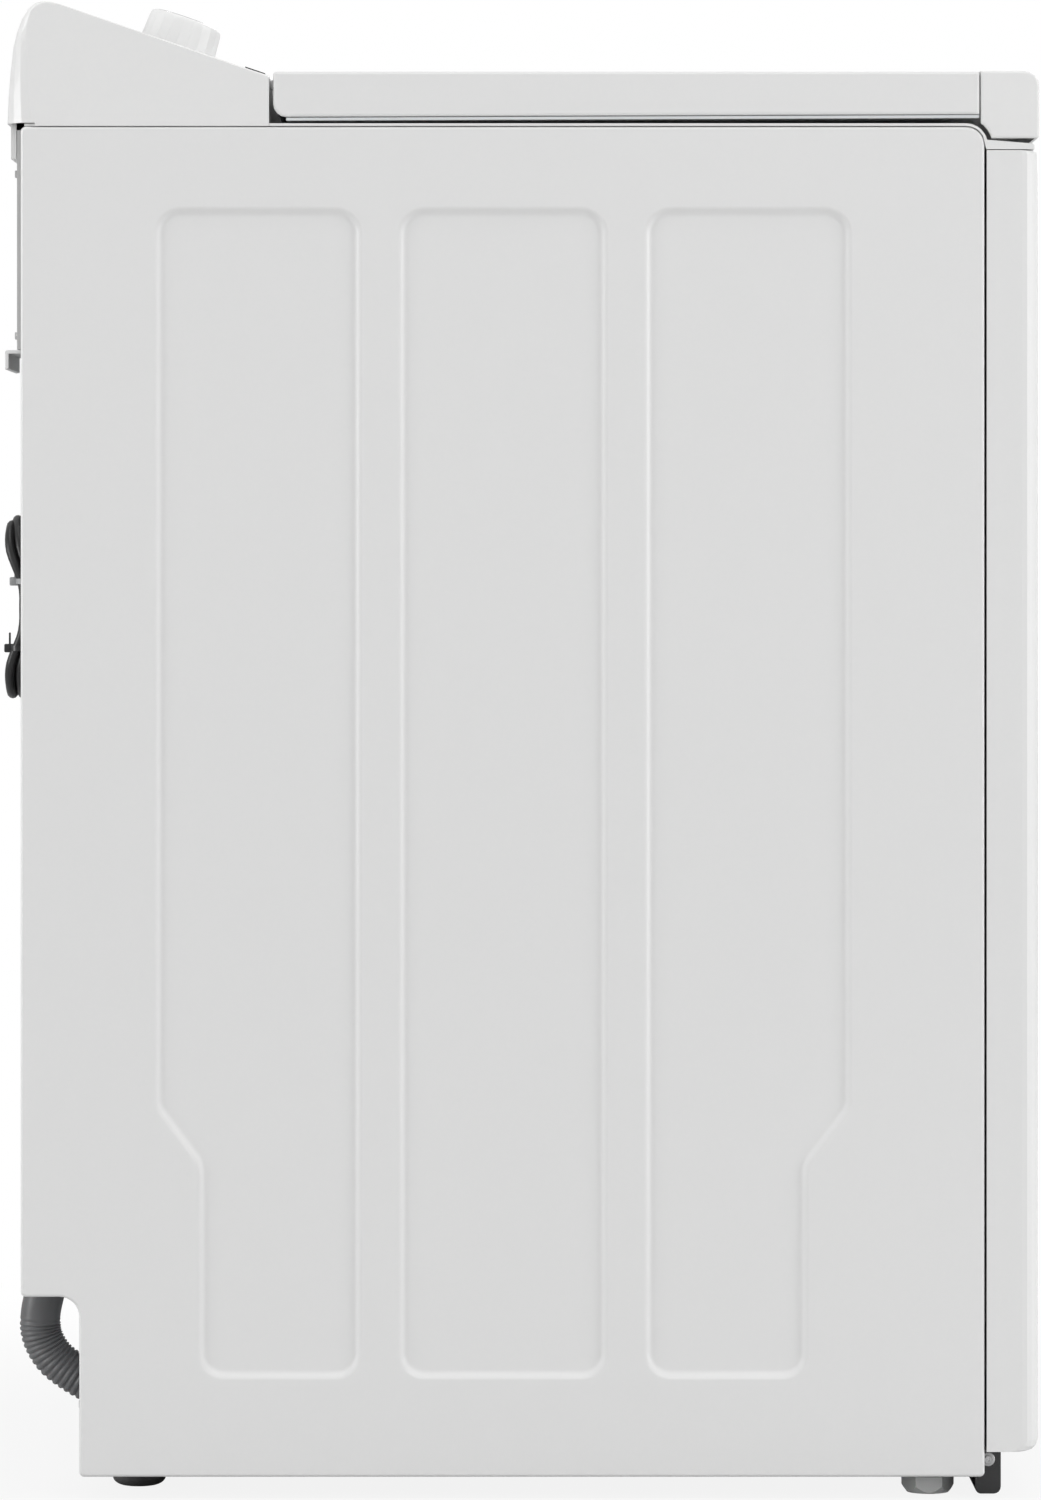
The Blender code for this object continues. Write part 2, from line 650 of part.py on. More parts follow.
def control_board():
    made = on_slope(block("control_board", (-0.100, -0.045, -0.0260), (0.500, 0.045, -0.0244), BOARD),
                    *KNOB_AT)
    transformer = block("add_transformer", (0.080, 0.002, -0.0250), (0.130, 0.037, -0.0120), BOARD)
    boolean(made, on_slope(transformer, *KNOB_AT), "UNION")
    encoder = turned("add_encoder", disc_profile(0.0060, -0.0250, -0.0040), BOARD, 12)
    return boolean(made, on_slope(encoder, *KNOB_AT), "UNION")


# ---------------------------------------------------------------- the lid


WINDOW = (-0.262, 0.262, -0.292, 0.120)


def lid_frame():
    """The lid's painted shell, open underneath, with the window opening and the hinge notches."""
    profile = rounded([(LID_SEAM_Y, LID_BOTTOM + LID_RISE, 0), (LID_REAR_Y, LID_BOTTOM, 0.0095),
                       (LID_REAR_Y, LID_TOP, 0.0022),
                       (LID_SEAM_Y, LID_TOP, 0)])
    made = prism("lid_frame", profile, "X", -LID_HALF_W, LID_HALF_W, WHITE, 0.0018)
    boolean(made, block("cut_lid_inside", (-0.339, -0.33, 0.95), (0.339, 0.1700, LID_TOP - PLASTIC)))
    boolean(made, prism("cut_window", rounded(rectangle(*WINDOW, 0.020)), "Z", 0.98, 1.02, WHITE))
    for side in (-1, 1):
        boolean(made, block("cut_hinge_notch", (side * HINGE_X - 0.013, 0.1580, 0.9740),
                            (side * HINGE_X + 0.013, 0.19, 1.02)))
    return made


def lid_handle():
    """The lid's front cap, which reaches down in front of the cabinet, with a finger scoop."""
    centre, radius = Vector((-0.312, 0.9485)), 0.0185
    arc = []
    for k in range(5):
        turn = math.radians(165 - 41 * k / 4)
        arc.append(centre + radius * Vector((math.cos(turn), math.sin(turn))))
    outer = rounded([(-0.3222, 1.0005, 0), (FRONT_Y, 1.0005, 0.0100), (FRONT_Y, 0.9534, 0.0015),
                     (-0.3310, 0.9534, 0)])
    made = prism("lid_handle", outer[:-1] + arc, "X", -LID_HALF_W, LID_HALF_W, WHITE_PLASTIC, 0.0015)
    boolean(made, block("cut_cap_inside", (-0.339, FRONT_Y + 0.003, 0.94), (0.339, -0.31, 0.9975)))
    scoop = rounded(rectangle(-0.080, 0.080, 0.940, 0.9620, 0.008), segments=4)
    return boolean(made, prism("cut_scoop", scoop, "Y", -0.38, -0.3585, WHITE))


def lid_liner():
    front, rear, low, high = -0.3210, 0.1640, LID_BOTTOM - 0.0024, LID_BOTTOM - 0.0005
    profile = [Vector((front, low + LID_RISE)), Vector((rear, low)), Vector((rear, high)),
               Vector((front, high + LID_RISE))]
    made = prism("lid_liner", profile, "X", -LID_HALF_W, LID_HALF_W, WHITE_PLASTIC)
    boolean(made, prism("cut_liner_window", rounded(rectangle(*WINDOW, 0.020)), "Z", 0.95, 0.98, WHITE))
    return boolean(made, turned("cut_strike", disc_profile(0.0055, 0.95, 0.98), WHITE, 12, LOCK_AT))


def lid_glass():
    low_x, high_x, low_y, high_y = WINDOW
    outline = rounded(rectangle(low_x + GAP, high_x - GAP, low_y + GAP, high_y - GAP, 0.0196))
    return prism("lid_glass", outline, "Z", 0.9962, 1.0002, GLASS, 0.0006)


def hinge(side, name_side):
    """One hinge: a knuckle on an arm from the console, and a pin between two ears under the lid."""
    x = side * HINGE_X
    arm = [(0.1758, 0.9905), (0.1758, 0.9962), (LID_AXIS_Y, 0.9967)]
    knuckle = [Vector((LID_AXIS_Y, LID_AXIS_Z)) + 0.0032 * Vector((math.cos(a), math.sin(a)))
               for a in [math.radians(90 + 30 * k) for k in range(7)]]
    outline = [Vector(p) for p in arm] + knuckle[1:]
    bracket = prism(f"hinge_bracket_{name_side}", outline, "X", x - 0.0100, x + 0.0100, STEEL)
    boolean(bracket,
            rod("cut_knuckle", (x - 0.02, LID_AXIS_Y, LID_AXIS_Z), (x + 0.02, LID_AXIS_Y, LID_AXIS_Z),
                         0.0021, STEEL, 16))
    pin = rod(f"lid_hinge_{name_side}", (x - 0.0170, LID_AXIS_Y, LID_AXIS_Z),
              (x + 0.0170, LID_AXIS_Y, LID_AXIS_Z),
              0.0017, STEEL, 12)
    for ear in (-1, 1):
        low = x + ear * 0.0150
        boolean(pin,
                block("add_ear", (low - 0.0013, LID_AXIS_Y - 0.006, 0.9840),
                      (low + 0.0013, LID_AXIS_Y + 0.0045, 0.9971)),
                "UNION")


def lid_lock():
    """The solenoid lock under the top cover, and its bolt, which rises into the lid's liner."""
    x, y = LOCK_AT
    made = block("lid_lock_housing", (x - 0.020, y - 0.018, 0.9250), (x + 0.020, y + 0.018, 0.9605),
                 GREY_PLASTIC, 0.001)
    boolean(made, turned("cut_bolt_bore", disc_profile(0.0042, 0.90, 0.98), WHITE, 12, LOCK_AT))
    turned("lock_bolt", [(0, 0.932), (0.0036, 0.932), (0.0036, 0.9615), (0.0026, 0.9628), (0, 0.9628)],
           STEEL, 12, LOCK_AT)
    return made


# ---------------------------------------------------------------- the back

VALVE_X = (0.205, 0.262)
VALVE_Z = 0.880
HOSE_X = -0.293
HOSE_END_X = -0.193
HOSE_R = 0.0148
HOSE_Y = 0.3250  # of its run up the back
HOSE_EXIT = ((HOSE_X, 0.2700, 0.0560), (HOSE_X, 0.3450, 0.0990))
HOSE_ROUTE = (
    (HOSE_X, 0.200, 0.052), (HOSE_X, 0.240, 0.0530), (HOSE_X, 0.275, 0.0625), (HOSE_X, 0.300, 0.0740),
    (HOSE_X, 0.3165, 0.0832), (HOSE_X, 0.3300, 0.0940), (HOSE_X, 0.3382, 0.1080), (HOSE_X, 0.3398, 0.1220),
    (HOSE_X, 0.3370, 0.1380), (HOSE_X, 0.3300, 0.1620), (HOSE_X, 0.3262, 0.1850), (HOSE_X, HOSE_Y, 0.2100),
    (HOSE_X, HOSE_Y, 0.300), (HOSE_X, HOSE_Y, 0.450), (HOSE_X, HOSE_Y, 0.600), (HOSE_X, HOSE_Y, 0.700),
    (HOSE_X, HOSE_Y, 0.7365), (-0.2863, HOSE_Y, 0.7615), (-0.2680, HOSE_Y, 0.7798),
    (-0.2430, HOSE_Y, 0.7865), (-0.2180, HOSE_Y, 0.7798), (-0.1997, HOSE_Y, 0.7615),
    (HOSE_END_X, HOSE_Y, 0.7365), (HOSE_END_X, HOSE_Y, 0.700), (HOSE_END_X, HOSE_Y, 0.610),
    (HOSE_END_X, HOSE_Y, 0.520),
)


def rear_service_cover():
    """The plastic cover over the inlet valves, on the upper part of the rear panel."""
    low, high = (-0.326, PAD_Y + GAP, 0.8060), (0.321, 0.3538, 0.9600)
    made = block("rear_service_cover", low, high, WHITE_PLASTIC)
    boolean(made,
            block("cut_cover_inside", (low[0] + 0.002, 0.33, low[2] + 0.002),
                  (high[0] - 0.002, 0.3514, high[2] - 0.002)))
    return boolean(made, block("cut_valve_window", (0.172, 0.33, 0.848), (0.295, 0.37, 0.912)))


def valve(name, x):
    """An inlet valve: its body inside the cabinet and its threaded port in the cover's window."""
    made = block(name, (x - 0.018, 0.275, VALVE_Z - 0.020), (x + 0.018, 0.3040, VALVE_Z + 0.020),
                 GREY_PLASTIC, 0.002)
    boolean(made, rod("add_port", (x, 0.300, VALVE_Z), (x, 0.3520, VALVE_Z), 0.0128, GREY_PLASTIC, 20),
            "UNION")
    return boolean(made, rod("cut_port", (x, 0.330, VALVE_Z), (x, 0.36, VALVE_Z), 0.0095, GREY_PLASTIC, 16))


def hose_hook():
    """The clip at the head of the hose channel: a plate over the hose's bend, with a lip that turns down."""
    profile = [Vector(p) for p in ((BACK_Y + GAP, 0.8030), (0.3597, 0.8030), (0.3597, 0.7925),
                                   (0.3622, 0.7920),
                                   (0.3622, 0.8045), (0.3612, 0.8055), (BACK_Y + GAP, 0.8055))]
    return prism("hose_hook", profile, "X", -0.3262, -0.2250, WHITE_PLASTIC, 0.0004)


def drain_pump():
    x, y = HOSE_X + 0.012, 0.150
    made = turned("drain_pump",
                  [(0, 0.0236), (0.036, 0.0236), (0.036, 0.058), (0.022, 0.060), (0.022, 0.110),
                   (0, 0.110)],
                  GREY_PLASTIC, 24, (x, y))
    return boolean(made,
                   rod("add_spigot", (HOSE_X, y, 0.044), (HOSE_X, 0.1960, 0.0518), 0.0110, GREY_PLASTIC,
                       12), "UNION")


# The mains lead: it leaves a strain relief on the rear panel, is folded into a hank tied to the hose, and ends
# in its plug below the hank.
CORD_R = 0.0037
HANK_X = -0.290
HANK_HALF_W = 0.0350
HANK_Z = (0.560, 0.690)
HANK_Y = (0.3410, 0.3638)
RELIEF_X = -0.158
RELIEF_Z = (0.7540, 0.7780)
LEAD_ROUTE = (
    (RELIEF_X, 0.3458, 0.7536), (RELIEF_X, 0.3458, 0.730), (-0.164, 0.3462, 0.700), (-0.188, 0.3475, 0.668),
    (-0.222, 0.3495, 0.650), (-0.2544, 0.3515, 0.645),
)
PLUG_X = -0.2430
PLUG_Z = (0.5260, 0.5640)
PLUG_Y = 0.3245


def power_lead():
    block("cord_strain_relief", (RELIEF_X - 0.0095, PAD_Y + GAP, RELIEF_Z[0]),
          (RELIEF_X + 0.0095, 0.3530, RELIEF_Z[1]),
          BLACK_PLASTIC, 0.002)
    tube("power_cord", LEAD_ROUTE, CORD_R, BLACK_PLASTIC, count=16)
    low, high = (HANK_X - HANK_HALF_W, HANK_X + HANK_HALF_W)
    prism("power_cord_hank", rounded(rectangle(low, high, *HANK_Z, HANK_HALF_W - 0.0005), segments=8), "Y",
          *HANK_Y,
          BLACK_PLASTIC)
    plug = block("power_plug", (PLUG_X - 0.0125, PLUG_Y - 0.0100, PLUG_Z[0]),
                 (PLUG_X + 0.0125, PLUG_Y + 0.0100, PLUG_Z[1]),
                 BLACK_PLASTIC, 0.003)
    for x, depth in ((-0.0063, -0.003), (0.0063, -0.003), (0.0, 0.004)):
        y = PLUG_Y + depth
        boolean(plug, block("add_prong", (PLUG_X + x - 0.0008, y - 0.003, PLUG_Z[0] - 0.018),
                            (PLUG_X + x + 0.0008, y + 0.003, PLUG_Z[0] + 0.004)), "UNION")


# ---------------------------------------------------------------- the tub and its drive


def outer_tub():
    """The plastic tub with its bearing hub, and four lugs that hang on the suspension struts."""
    wall = 0.0030
    profile = [(0.0313, 0.1500), (0.0450, 0.1500), (0.0470, TUB_BOTTOM), (TUB_R - 0.012, TUB_BOTTOM),
               (TUB_R, TUB_BOTTOM + 0.012),
               (TUB_R, TUB_TOP), (TUB_R - wall, TUB_TOP), (TUB_R - wall, TUB_BOTTOM + 0.016),
               (TUB_R - 0.016, TUB_BOTTOM + 0.004),
               (0.0500, TUB_BOTTOM + 0.004), (0.0400, 0.2250), (0.0313, 0.2250)]
    made = turned("outer_tub", profile, WHITE_PLASTIC, 48, (0.0, TUB_Y))
    for x in (-1, 1):
        for y in (-1, 1):
            direction = Vector((x * STRUT_OFFSET.x, y * STRUT_OFFSET.y)).normalized()
            across = Vector((-direction.y, direction.x))
            centre = Vector((0, TUB_Y))
            near, far = centre + direction * (TUB_R - 0.0024), centre + direction * 0.409
            outline = [near - across * 0.045, far - across * 0.018, far + across * 0.018,
                       near + across * 0.045]
            boolean(made, prism("add_lug", outline, "Z", 0.4410, 0.4550, WHITE_PLASTIC), "UNION")
            at = centre + direction * STRUT_OFFSET.length
            boolean(made, turned("cut_lug_hole", disc_profile(0.0060, 0.43, 0.47), WHITE, 12, at))
    return made


def strut(name, x, y):
    """A suspension rod with its damper cup: it hangs from the cabinet's corner and carries one lug of the tub."""
    profile = [(0, 0.3350), (0.0150, 0.3350), (0.0170, 0.3370), (0.0170, 0.4380), (0.0150, 0.4405),
               (0.0032, 0.4405),
               (0.0032, 0.8980), (0.0080, 0.9020), (0.0080, 0.9120), (0, 0.9150)]
    return turned(name, profile, STEEL, 16, (x * STRUT_OFFSET.x, TUB_Y + y * STRUT_OFFSET.y))


def tub_parts():
    centre = (0.0, TUB_Y)
    turned("tub_cover",
           [(0.2280, 0.8960), (0.2960, 0.8960), (0.2960, 0.8700), (0.2945, 0.8700), (0.2945, 0.8804),
                         (0.2860, 0.8804), (0.2860, 0.8935), (0.2280, 0.8935)], WHITE_PLASTIC, 48, centre)
    for name, low in (("upper_bearing", 0.2060), ("lower_bearing", 0.1540)):
        turned(name, disc_profile(0.0309, low, low + 0.0150, 0.0204), STEEL, 24, centre)
    turned("motor_stator",
           [(0.0490, 0.1300), (0.1240, 0.1300), (0.1240, 0.1720), (0.1180, 0.1720), (0.1180, 0.1420),
                            (0.0490, 0.1420)], COPPER, 32, centre)
    turned("motor_rotor",
           [(0.0104, 0.0880), (0.1300, 0.0880), (0.1300, 0.1620), (0.1270, 0.1620), (0.1270, 0.0920),
                           (0.0340, 0.0920), (0.0300, 0.0960), (0.0104, 0.0960)], STEEL, 36, centre)
    turned("clutch_coupling", disc_profile(0.0330, 0.1020, 0.1220, 0.0204), GREY_PLASTIC, 24, centre)
    turned("basket_hub",
           [(0.0108, 0.1240), (0.0200, 0.1240), (0.0200, 0.2380), (0.0400, 0.2440), (0.1500, 0.2465),
                          (0.1500, HUB_TOP), (0.0108, HUB_TOP)], ALUMINIUM, 32, centre)
    turned("wash_basket",
           [(0.0400, HUB_TOP + GAP), (BASKET_R - 0.012, HUB_TOP + GAP), (BASKET_R, 0.2630),
            (BASKET_R, 0.8000),
                           (BASKET_R - 0.0012, 0.8000), (BASKET_R - 0.0012, 0.2636),
                           (BASKET_R - 0.0126, 0.2522),
                           (0.0400, 0.2522)], STEEL, 48, centre)
    turned("balance_ring",
           [(0.2220, 0.8100), (0.2400, 0.8004), (0.2630, 0.8004), (0.2630, 0.8480), (0.2580, 0.8560),
                            (0.2320, 0.8560), (0.2220, 0.8440)], GREY_PLASTIC, 48, centre)
    turned("drive_shaft", disc_profile(0.0098, 0.0860, 0.2700), STEEL, 16, centre)


def pulsator():
    """The wash plate: a shallow dish with a central dome and six ribs."""
    profile = [(0.0102, 0.2560), (0.2260, 0.2560), (0.2300, 0.2620), (0.2260, 0.2660), (0.1500, 0.2630),
               (0.0700, 0.2680),
               (0.0500, 0.2860), (0.0250, 0.2960), (0, 0.2980), (0, 0.2720), (0.0102, 0.2720)]
    made = turned("pulsator", profile, WHITE_PLASTIC, 36, (0.0, TUB_Y))
    for number in range(6):
        turn = Matrix.Rotation(math.radians(60 * number), 2)
        outline = [turn @ Vector(p) + Vector((0, TUB_Y)) for p in ((0.045, -0.012), (0.205, -0.005),
                                                                   (0.205, 0.005), (0.045, 0.012))]
        boolean(made, prism("add_rib", outline, "Z", 0.2590, 0.2800, WHITE_PLASTIC), "UNION")
    return made


def main():
    for old in list(bpy.data.objects):
        bpy.data.objects.remove(old)
    side_panel("side_panel_left", -1)
    side_panel("side_panel_right", 1)
    front_panel()
    rear_panel()
    base_frame()
    for x, y, kind in FEET:
        foot(f"foot_{kind}_{'left' if x < 0 else 'right'}", x, y, kind)
    top_cover()
    dispenser_housing()
    detergent_drawer()
    console_housing()
    controls()
    control_board()
    lid_frame()
    lid_handle()
    lid_liner()
    lid_glass()
    hinge(-1, "left")
    hinge(1, "right")
    lid_lock()
    rear_service_cover()
    valve("hot_water_valve", VALVE_X[0])
    valve("cold_water_valve", VALVE_X[1])
    hose_hook()
    tube("drain_hose", HOSE_ROUTE, HOSE_R, HOSE_GREY, resolution=3, count=64)
    drain_pump()
    power_lead()
    outer_tub()
    tub_parts()
    pulsator()
    for name, x, y in (("front_left", -1, -1), ("front_right", 1, -1), ("rear_left", -1, 1),
                       ("rear_right", 1, 1)):
        strut(f"strut_{name}", x, y)


main()
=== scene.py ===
"""A top-loading washing machine: its finishes, pressed sides, hose, mains lead and small fittings."""

import math

import bmesh
import bpy
from mathutils import Matrix, Vector


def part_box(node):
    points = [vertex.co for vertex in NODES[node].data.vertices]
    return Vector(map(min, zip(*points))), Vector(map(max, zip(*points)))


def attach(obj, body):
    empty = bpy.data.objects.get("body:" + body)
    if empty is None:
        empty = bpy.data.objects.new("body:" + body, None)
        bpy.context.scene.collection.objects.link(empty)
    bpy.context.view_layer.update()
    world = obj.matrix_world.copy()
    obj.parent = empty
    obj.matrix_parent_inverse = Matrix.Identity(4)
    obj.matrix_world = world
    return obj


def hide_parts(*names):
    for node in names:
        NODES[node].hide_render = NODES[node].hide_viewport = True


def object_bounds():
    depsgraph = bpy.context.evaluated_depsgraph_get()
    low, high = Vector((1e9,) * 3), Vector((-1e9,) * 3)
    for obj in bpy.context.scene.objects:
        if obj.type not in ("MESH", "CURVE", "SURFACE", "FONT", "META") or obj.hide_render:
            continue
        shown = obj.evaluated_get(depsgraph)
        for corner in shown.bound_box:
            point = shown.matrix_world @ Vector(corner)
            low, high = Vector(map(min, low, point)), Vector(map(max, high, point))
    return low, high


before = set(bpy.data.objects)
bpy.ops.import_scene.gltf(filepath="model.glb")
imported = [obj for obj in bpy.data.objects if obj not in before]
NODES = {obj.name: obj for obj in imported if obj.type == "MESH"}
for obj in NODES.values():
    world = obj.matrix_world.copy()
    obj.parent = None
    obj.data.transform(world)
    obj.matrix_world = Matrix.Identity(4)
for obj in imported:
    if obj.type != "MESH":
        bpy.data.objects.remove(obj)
CAD_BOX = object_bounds()

# ---------------------------------------------------------------- the camera, the floor and the lights

FRAME_HEIGHT = 1500 * 0.00070  # metres of the machine's near side that the full frame takes in
DISTANCE = 4.5  # from the camera to the near side
CAMERA_Z = 0.655


def make_camera():
    """A camera that looks square at the machine's left side."""
    data = bpy.data.cameras.new("camera")
    data.sensor_width = 36.0
    data.lens = data.sensor_width * DISTANCE / FRAME_HEIGHT
    data.shift_y = (FRAME_HEIGHT / 2 - CAMERA_Z) / FRAME_HEIGHT
    data.clip_end = 60.0
    camera = bpy.data.objects.new("camera", data)
    bpy.context.scene.collection.objects.link(camera)
    camera.location = (CAD_BOX[0][0] - DISTANCE, 0.0, CAMERA_Z)
    camera.rotation_euler = (math.radians(90), 0.0, math.radians(-90))
    bpy.context.scene.camera = camera


def area_light(name, at, target, size, power):
    """A softbox at a place in the studio, turned to its target."""
    data = bpy.data.lights.new(name, "AREA")
    data.shape = "RECTANGLE"
    data.size, data.size_y = size
    data.energy = power
    light = bpy.data.objects.new(name, data)
    bpy.context.scene.collection.objects.link(light)
    light.location = at
    light.rotation_euler = (Vector(target) - Vector(at)).to_track_quat("-Z", "Y").to_euler()


make_camera()
# Two tall softboxes graze the side from the front and the rear, and light both flanks of its pressed edges.
area_light("front_strip", (-1.7, -4.4, 1.3), (-0.34, 0.0, 0.55), (1.4, 3.0), 100.0)
area_light("rear_strip", (-1.7, 4.4, 1.3), (-0.34, 0.0, 0.55), (1.4, 3.0), 87.0)
area_light("top", (-0.7, 0.0, 4.8), (0.0, 0.0, 0.9), (3.0, 3.0), 72.0)
area_light("key", (-4.6, -1.2, 2.6), (-0.3, 0.0, 0.5), (2.4, 2.4), 14.0)
area_light("right_side", (3.8, -1.6, 2.4), (0.3, 0.0, 0.5), (2.6, 2.6), 40.0)


def make_world():
    """A white surround, dimmer as a light than it looks to the camera."""
    world = bpy.data.worlds.new("studio")
    world.use_nodes = True
    tree = world.node_tree
    seen = tree.nodes["Background"]
    seen.inputs["Color"].default_value = (1.0, 1.0, 1.0, 1.0)
    lit = tree.nodes.new("ShaderNodeBackground")
    lit.inputs["Color"].default_value = (1.0, 1.0, 1.0, 1.0)
    lit.inputs["Strength"].default_value = 0.55
    mix = tree.nodes.new("ShaderNodeMixShader")
    tree.links.new(tree.nodes.new("ShaderNodeLightPath").outputs["Is Camera Ray"], mix.inputs[0])
    tree.links.new(lit.outputs[0], mix.inputs[1])
    tree.links.new(seen.outputs[0], mix.inputs[2])
    tree.links.new(mix.outputs[0], tree.nodes["World Output"].inputs["Surface"])
    bpy.context.scene.world = world


make_world()
bpy.context.scene.view_settings.view_transform = "Standard"

# ---------------------------------------------------------------- materials


def link(tree, output, node, socket):
    """Joins an output to a node's input, named or numbered."""
    tree.links.new(output, node.inputs[socket])


def surface(name, colour, other, roughness, tone=(6.0, 0.5), rough_scale=14.0, bumps=(), stretch=None,
            **fixed):
    """A material whose colour drifts between two near colours and whose gloss varies, with fine bumps.
    bumps holds (texture, scale, depth in metres); stretch scales the coordinates, for a brushed grain."""
    made = bpy.data.materials.new(name)
    made.use_nodes = True
    tree = made.node_tree
    shader = tree.nodes["Principled BSDF"]
    place = tree.nodes.new("ShaderNodeTexCoord").outputs["Object"]
    if stretch:
        mapping = tree.nodes.new("ShaderNodeMapping")
        mapping.inputs["Scale"].default_value = stretch
        link(tree, place, mapping, "Vector")
        place = mapping.outputs["Vector"]
    drift = tree.nodes.new("ShaderNodeTexNoise")
    drift.inputs["Scale"].default_value = tone[0]
    drift.inputs["Detail"].default_value = 4.0
    link(tree, place, drift, "Vector")
    ramp = tree.nodes.new("ShaderNodeValToRGB")
    ramp.color_ramp.interpolation = "EASE"
    ramp.color_ramp.elements[0].position = 0.5 - tone[1] / 2
    ramp.color_ramp.elements[1].position = 0.5 + tone[1] / 2
    ramp.color_ramp.elements[0].color = (*colour, 1.0)
    ramp.color_ramp.elements[1].color = (*other, 1.0)
    link(tree, drift.outputs["Fac"], ramp, "Fac")
    link(tree, ramp.outputs["Color"], shader, "Base Color")
    gloss = tree.nodes.new("ShaderNodeTexNoise")
    gloss.inputs["Scale"].default_value = rough_scale
    gloss.inputs["Detail"].default_value = 3.0
    link(tree, place, gloss, "Vector")
    spread = tree.nodes.new("ShaderNodeMapRange")
    spread.interpolation_type = "SMOOTHSTEP"
    spread.inputs["From Min"].default_value = 0.2
    spread.inputs["From Max"].default_value = 0.8
    spread.inputs["To Min"].default_value = roughness[0]
    spread.inputs["To Max"].default_value = roughness[1]
    link(tree, gloss.outputs["Fac"], spread, "Value")
    link(tree, spread.outputs["Result"], shader, "Roughness")
    normal = None
    for kind, scale, depth in bumps:
        texture = tree.nodes.new(f"ShaderNodeTex{kind}")
        texture.inputs["Scale"].default_value = scale
        link(tree, place, texture, "Vector")
        height = texture.outputs["Distance" if kind == "Voronoi" else "Fac"]
        bump = tree.nodes.new("ShaderNodeBump")
        bump.inputs["Strength"].default_value = 1.0
        bump.inputs["Distance"].default_value = depth
        link(tree, height, bump, "Height")
        if normal:
            link(tree, normal, bump, "Normal")
        normal = bump.outputs["Normal"]
    if normal:
        link(tree, normal, shader, "Normal")
    for socket, value in fixed.items():
        shader.inputs[socket.replace("_", " ")].default_value = value
    return made


ENAMEL = surface("enamel_white", (0.792, 0.794, 0.793), (0.800, 0.800, 0.797), (0.276, 0.284), (300.0, 0.6),
                 6.0, (("Noise", 620.0, 0.000014),), Coat_Weight=0.30, Coat_Roughness=0.10)
MOULDED_WHITE = surface("moulded_white", (0.806, 0.808, 0.806), (0.816, 0.816, 0.811), (0.31, 0.36),
                        (340.0, 0.6), 12.0, (("Noise", 1400.0, 0.000018),), Coat_Weight=0.10,
                        Coat_Roughness=0.2)
MOULDED_GREY = surface("moulded_grey", (0.33, 0.335, 0.34), (0.38, 0.385, 0.39), (0.42, 0.55), (40.0, 0.7),
                       60.0, (("Noise", 1200.0, 0.00003),))
LIGHT_GREY = surface("moulded_light_grey", (0.60, 0.605, 0.60), (0.64, 0.64, 0.635), (0.40, 0.52),
                     (30.0, 0.7), 40.0, (("Noise", 1200.0, 0.00003),))
# Black moulded plastic; the same black is also painted shade in the basket's drain holes.
BLACK_MOULDED_AND_HOLE_SHADE = surface("moulded_black_and_hole_shade", (0.012, 0.012, 0.013), (0.022, 0.022, 0.023), (0.28, 0.42),
                        (50.0, 0.7), 50.0, (("Noise", 1000.0, 0.00004),), Coat_Weight=0.15,
                        Coat_Roughness=0.15)
BLACK_GLOSS = surface("moulded_black_gloss", (0.010, 0.010, 0.011), (0.016, 0.016, 0.017), (0.10, 0.16),
                      (30.0, 0.7), 40.0, (("Noise", 600.0, 0.00002),), Coat_Weight=0.5, Coat_Roughness=0.05)
FOOT_WHITE = surface("foot_nylon", (0.78, 0.785, 0.78), (0.84, 0.84, 0.83), (0.36, 0.48), (60.0, 0.7), 70.0,
                     (("Noise", 900.0, 0.00005),), Subsurface_Weight=0.04)
RUBBER = surface("foot_rubber", (0.070, 0.070, 0.072), (0.095, 0.094, 0.093), (0.52, 0.68), (90.0, 0.8),
                 90.0, (("Noise", 700.0, 0.00008),))
CORD_JACKET = surface("cord_jacket", (0.012, 0.012, 0.012), (0.020, 0.020, 0.021), (0.34, 0.46),
                      (120.0, 0.7), 120.0, (("Noise", 900.0, 0.00005),))
HOSE = surface("hose_grey", (0.108, 0.110, 0.114), (0.140, 0.142, 0.146), (0.36, 0.50), (35.0, 0.7), 60.0,
               (("Noise", 500.0, 0.00006),), Subsurface_Weight=0.03)
GALVANISED = surface("galvanised_steel", (0.56, 0.57, 0.58), (0.68, 0.69, 0.70), (0.30, 0.46), (70.0, 0.5),
                     55.0, (("Voronoi", 90.0, 0.00006), ("Noise", 900.0, 0.00002)), Metallic=0.85)
STAINLESS = surface("basket_stainless", (0.60, 0.60, 0.61), (0.68, 0.68, 0.69), (0.16, 0.30), (40.0, 0.6),
                    80.0, (("Noise", 60.0, 0.00005),), (6.0, 6.0, 60.0), Metallic=1.0, Anisotropic=0.4)
ZINC = surface("zinc_steel", (0.55, 0.55, 0.56), (0.66, 0.66, 0.66), (0.26, 0.40), (120.0, 0.7), 150.0,
               (("Noise", 600.0, 0.00004),), Metallic=1.0)
CAST = surface("cast_aluminium", (0.58, 0.585, 0.59), (0.66, 0.665, 0.67), (0.42, 0.58), (90.0, 0.7), 90.0,
               (("Noise", 420.0, 0.00012),), Metallic=1.0)
CHROME = surface("chrome_trim", (0.80, 0.80, 0.81), (0.86, 0.86, 0.87), (0.05, 0.09), (60.0, 0.7), 60.0,
                 (("Noise", 300.0, 0.000006),), Metallic=1.0)
BRASS = surface("valve_brass", (0.62, 0.44, 0.20), (0.72, 0.54, 0.28), (0.24, 0.38), (120.0, 0.7), 120.0,
                (("Noise", 700.0, 0.00003),), Metallic=1.0)
WINDING = surface("winding_copper", (0.60, 0.22, 0.08), (0.74, 0.32, 0.13), (0.28, 0.42), (160.0, 0.7),
                  200.0, (("Noise", 420.0, 0.0003),), Metallic=0.9)
BOARD = surface("board_green", (0.015, 0.14, 0.06), (0.03, 0.20, 0.09), (0.35, 0.5), (80.0, 0.7), 80.0,
                (("Noise", 500.0, 0.0001),))
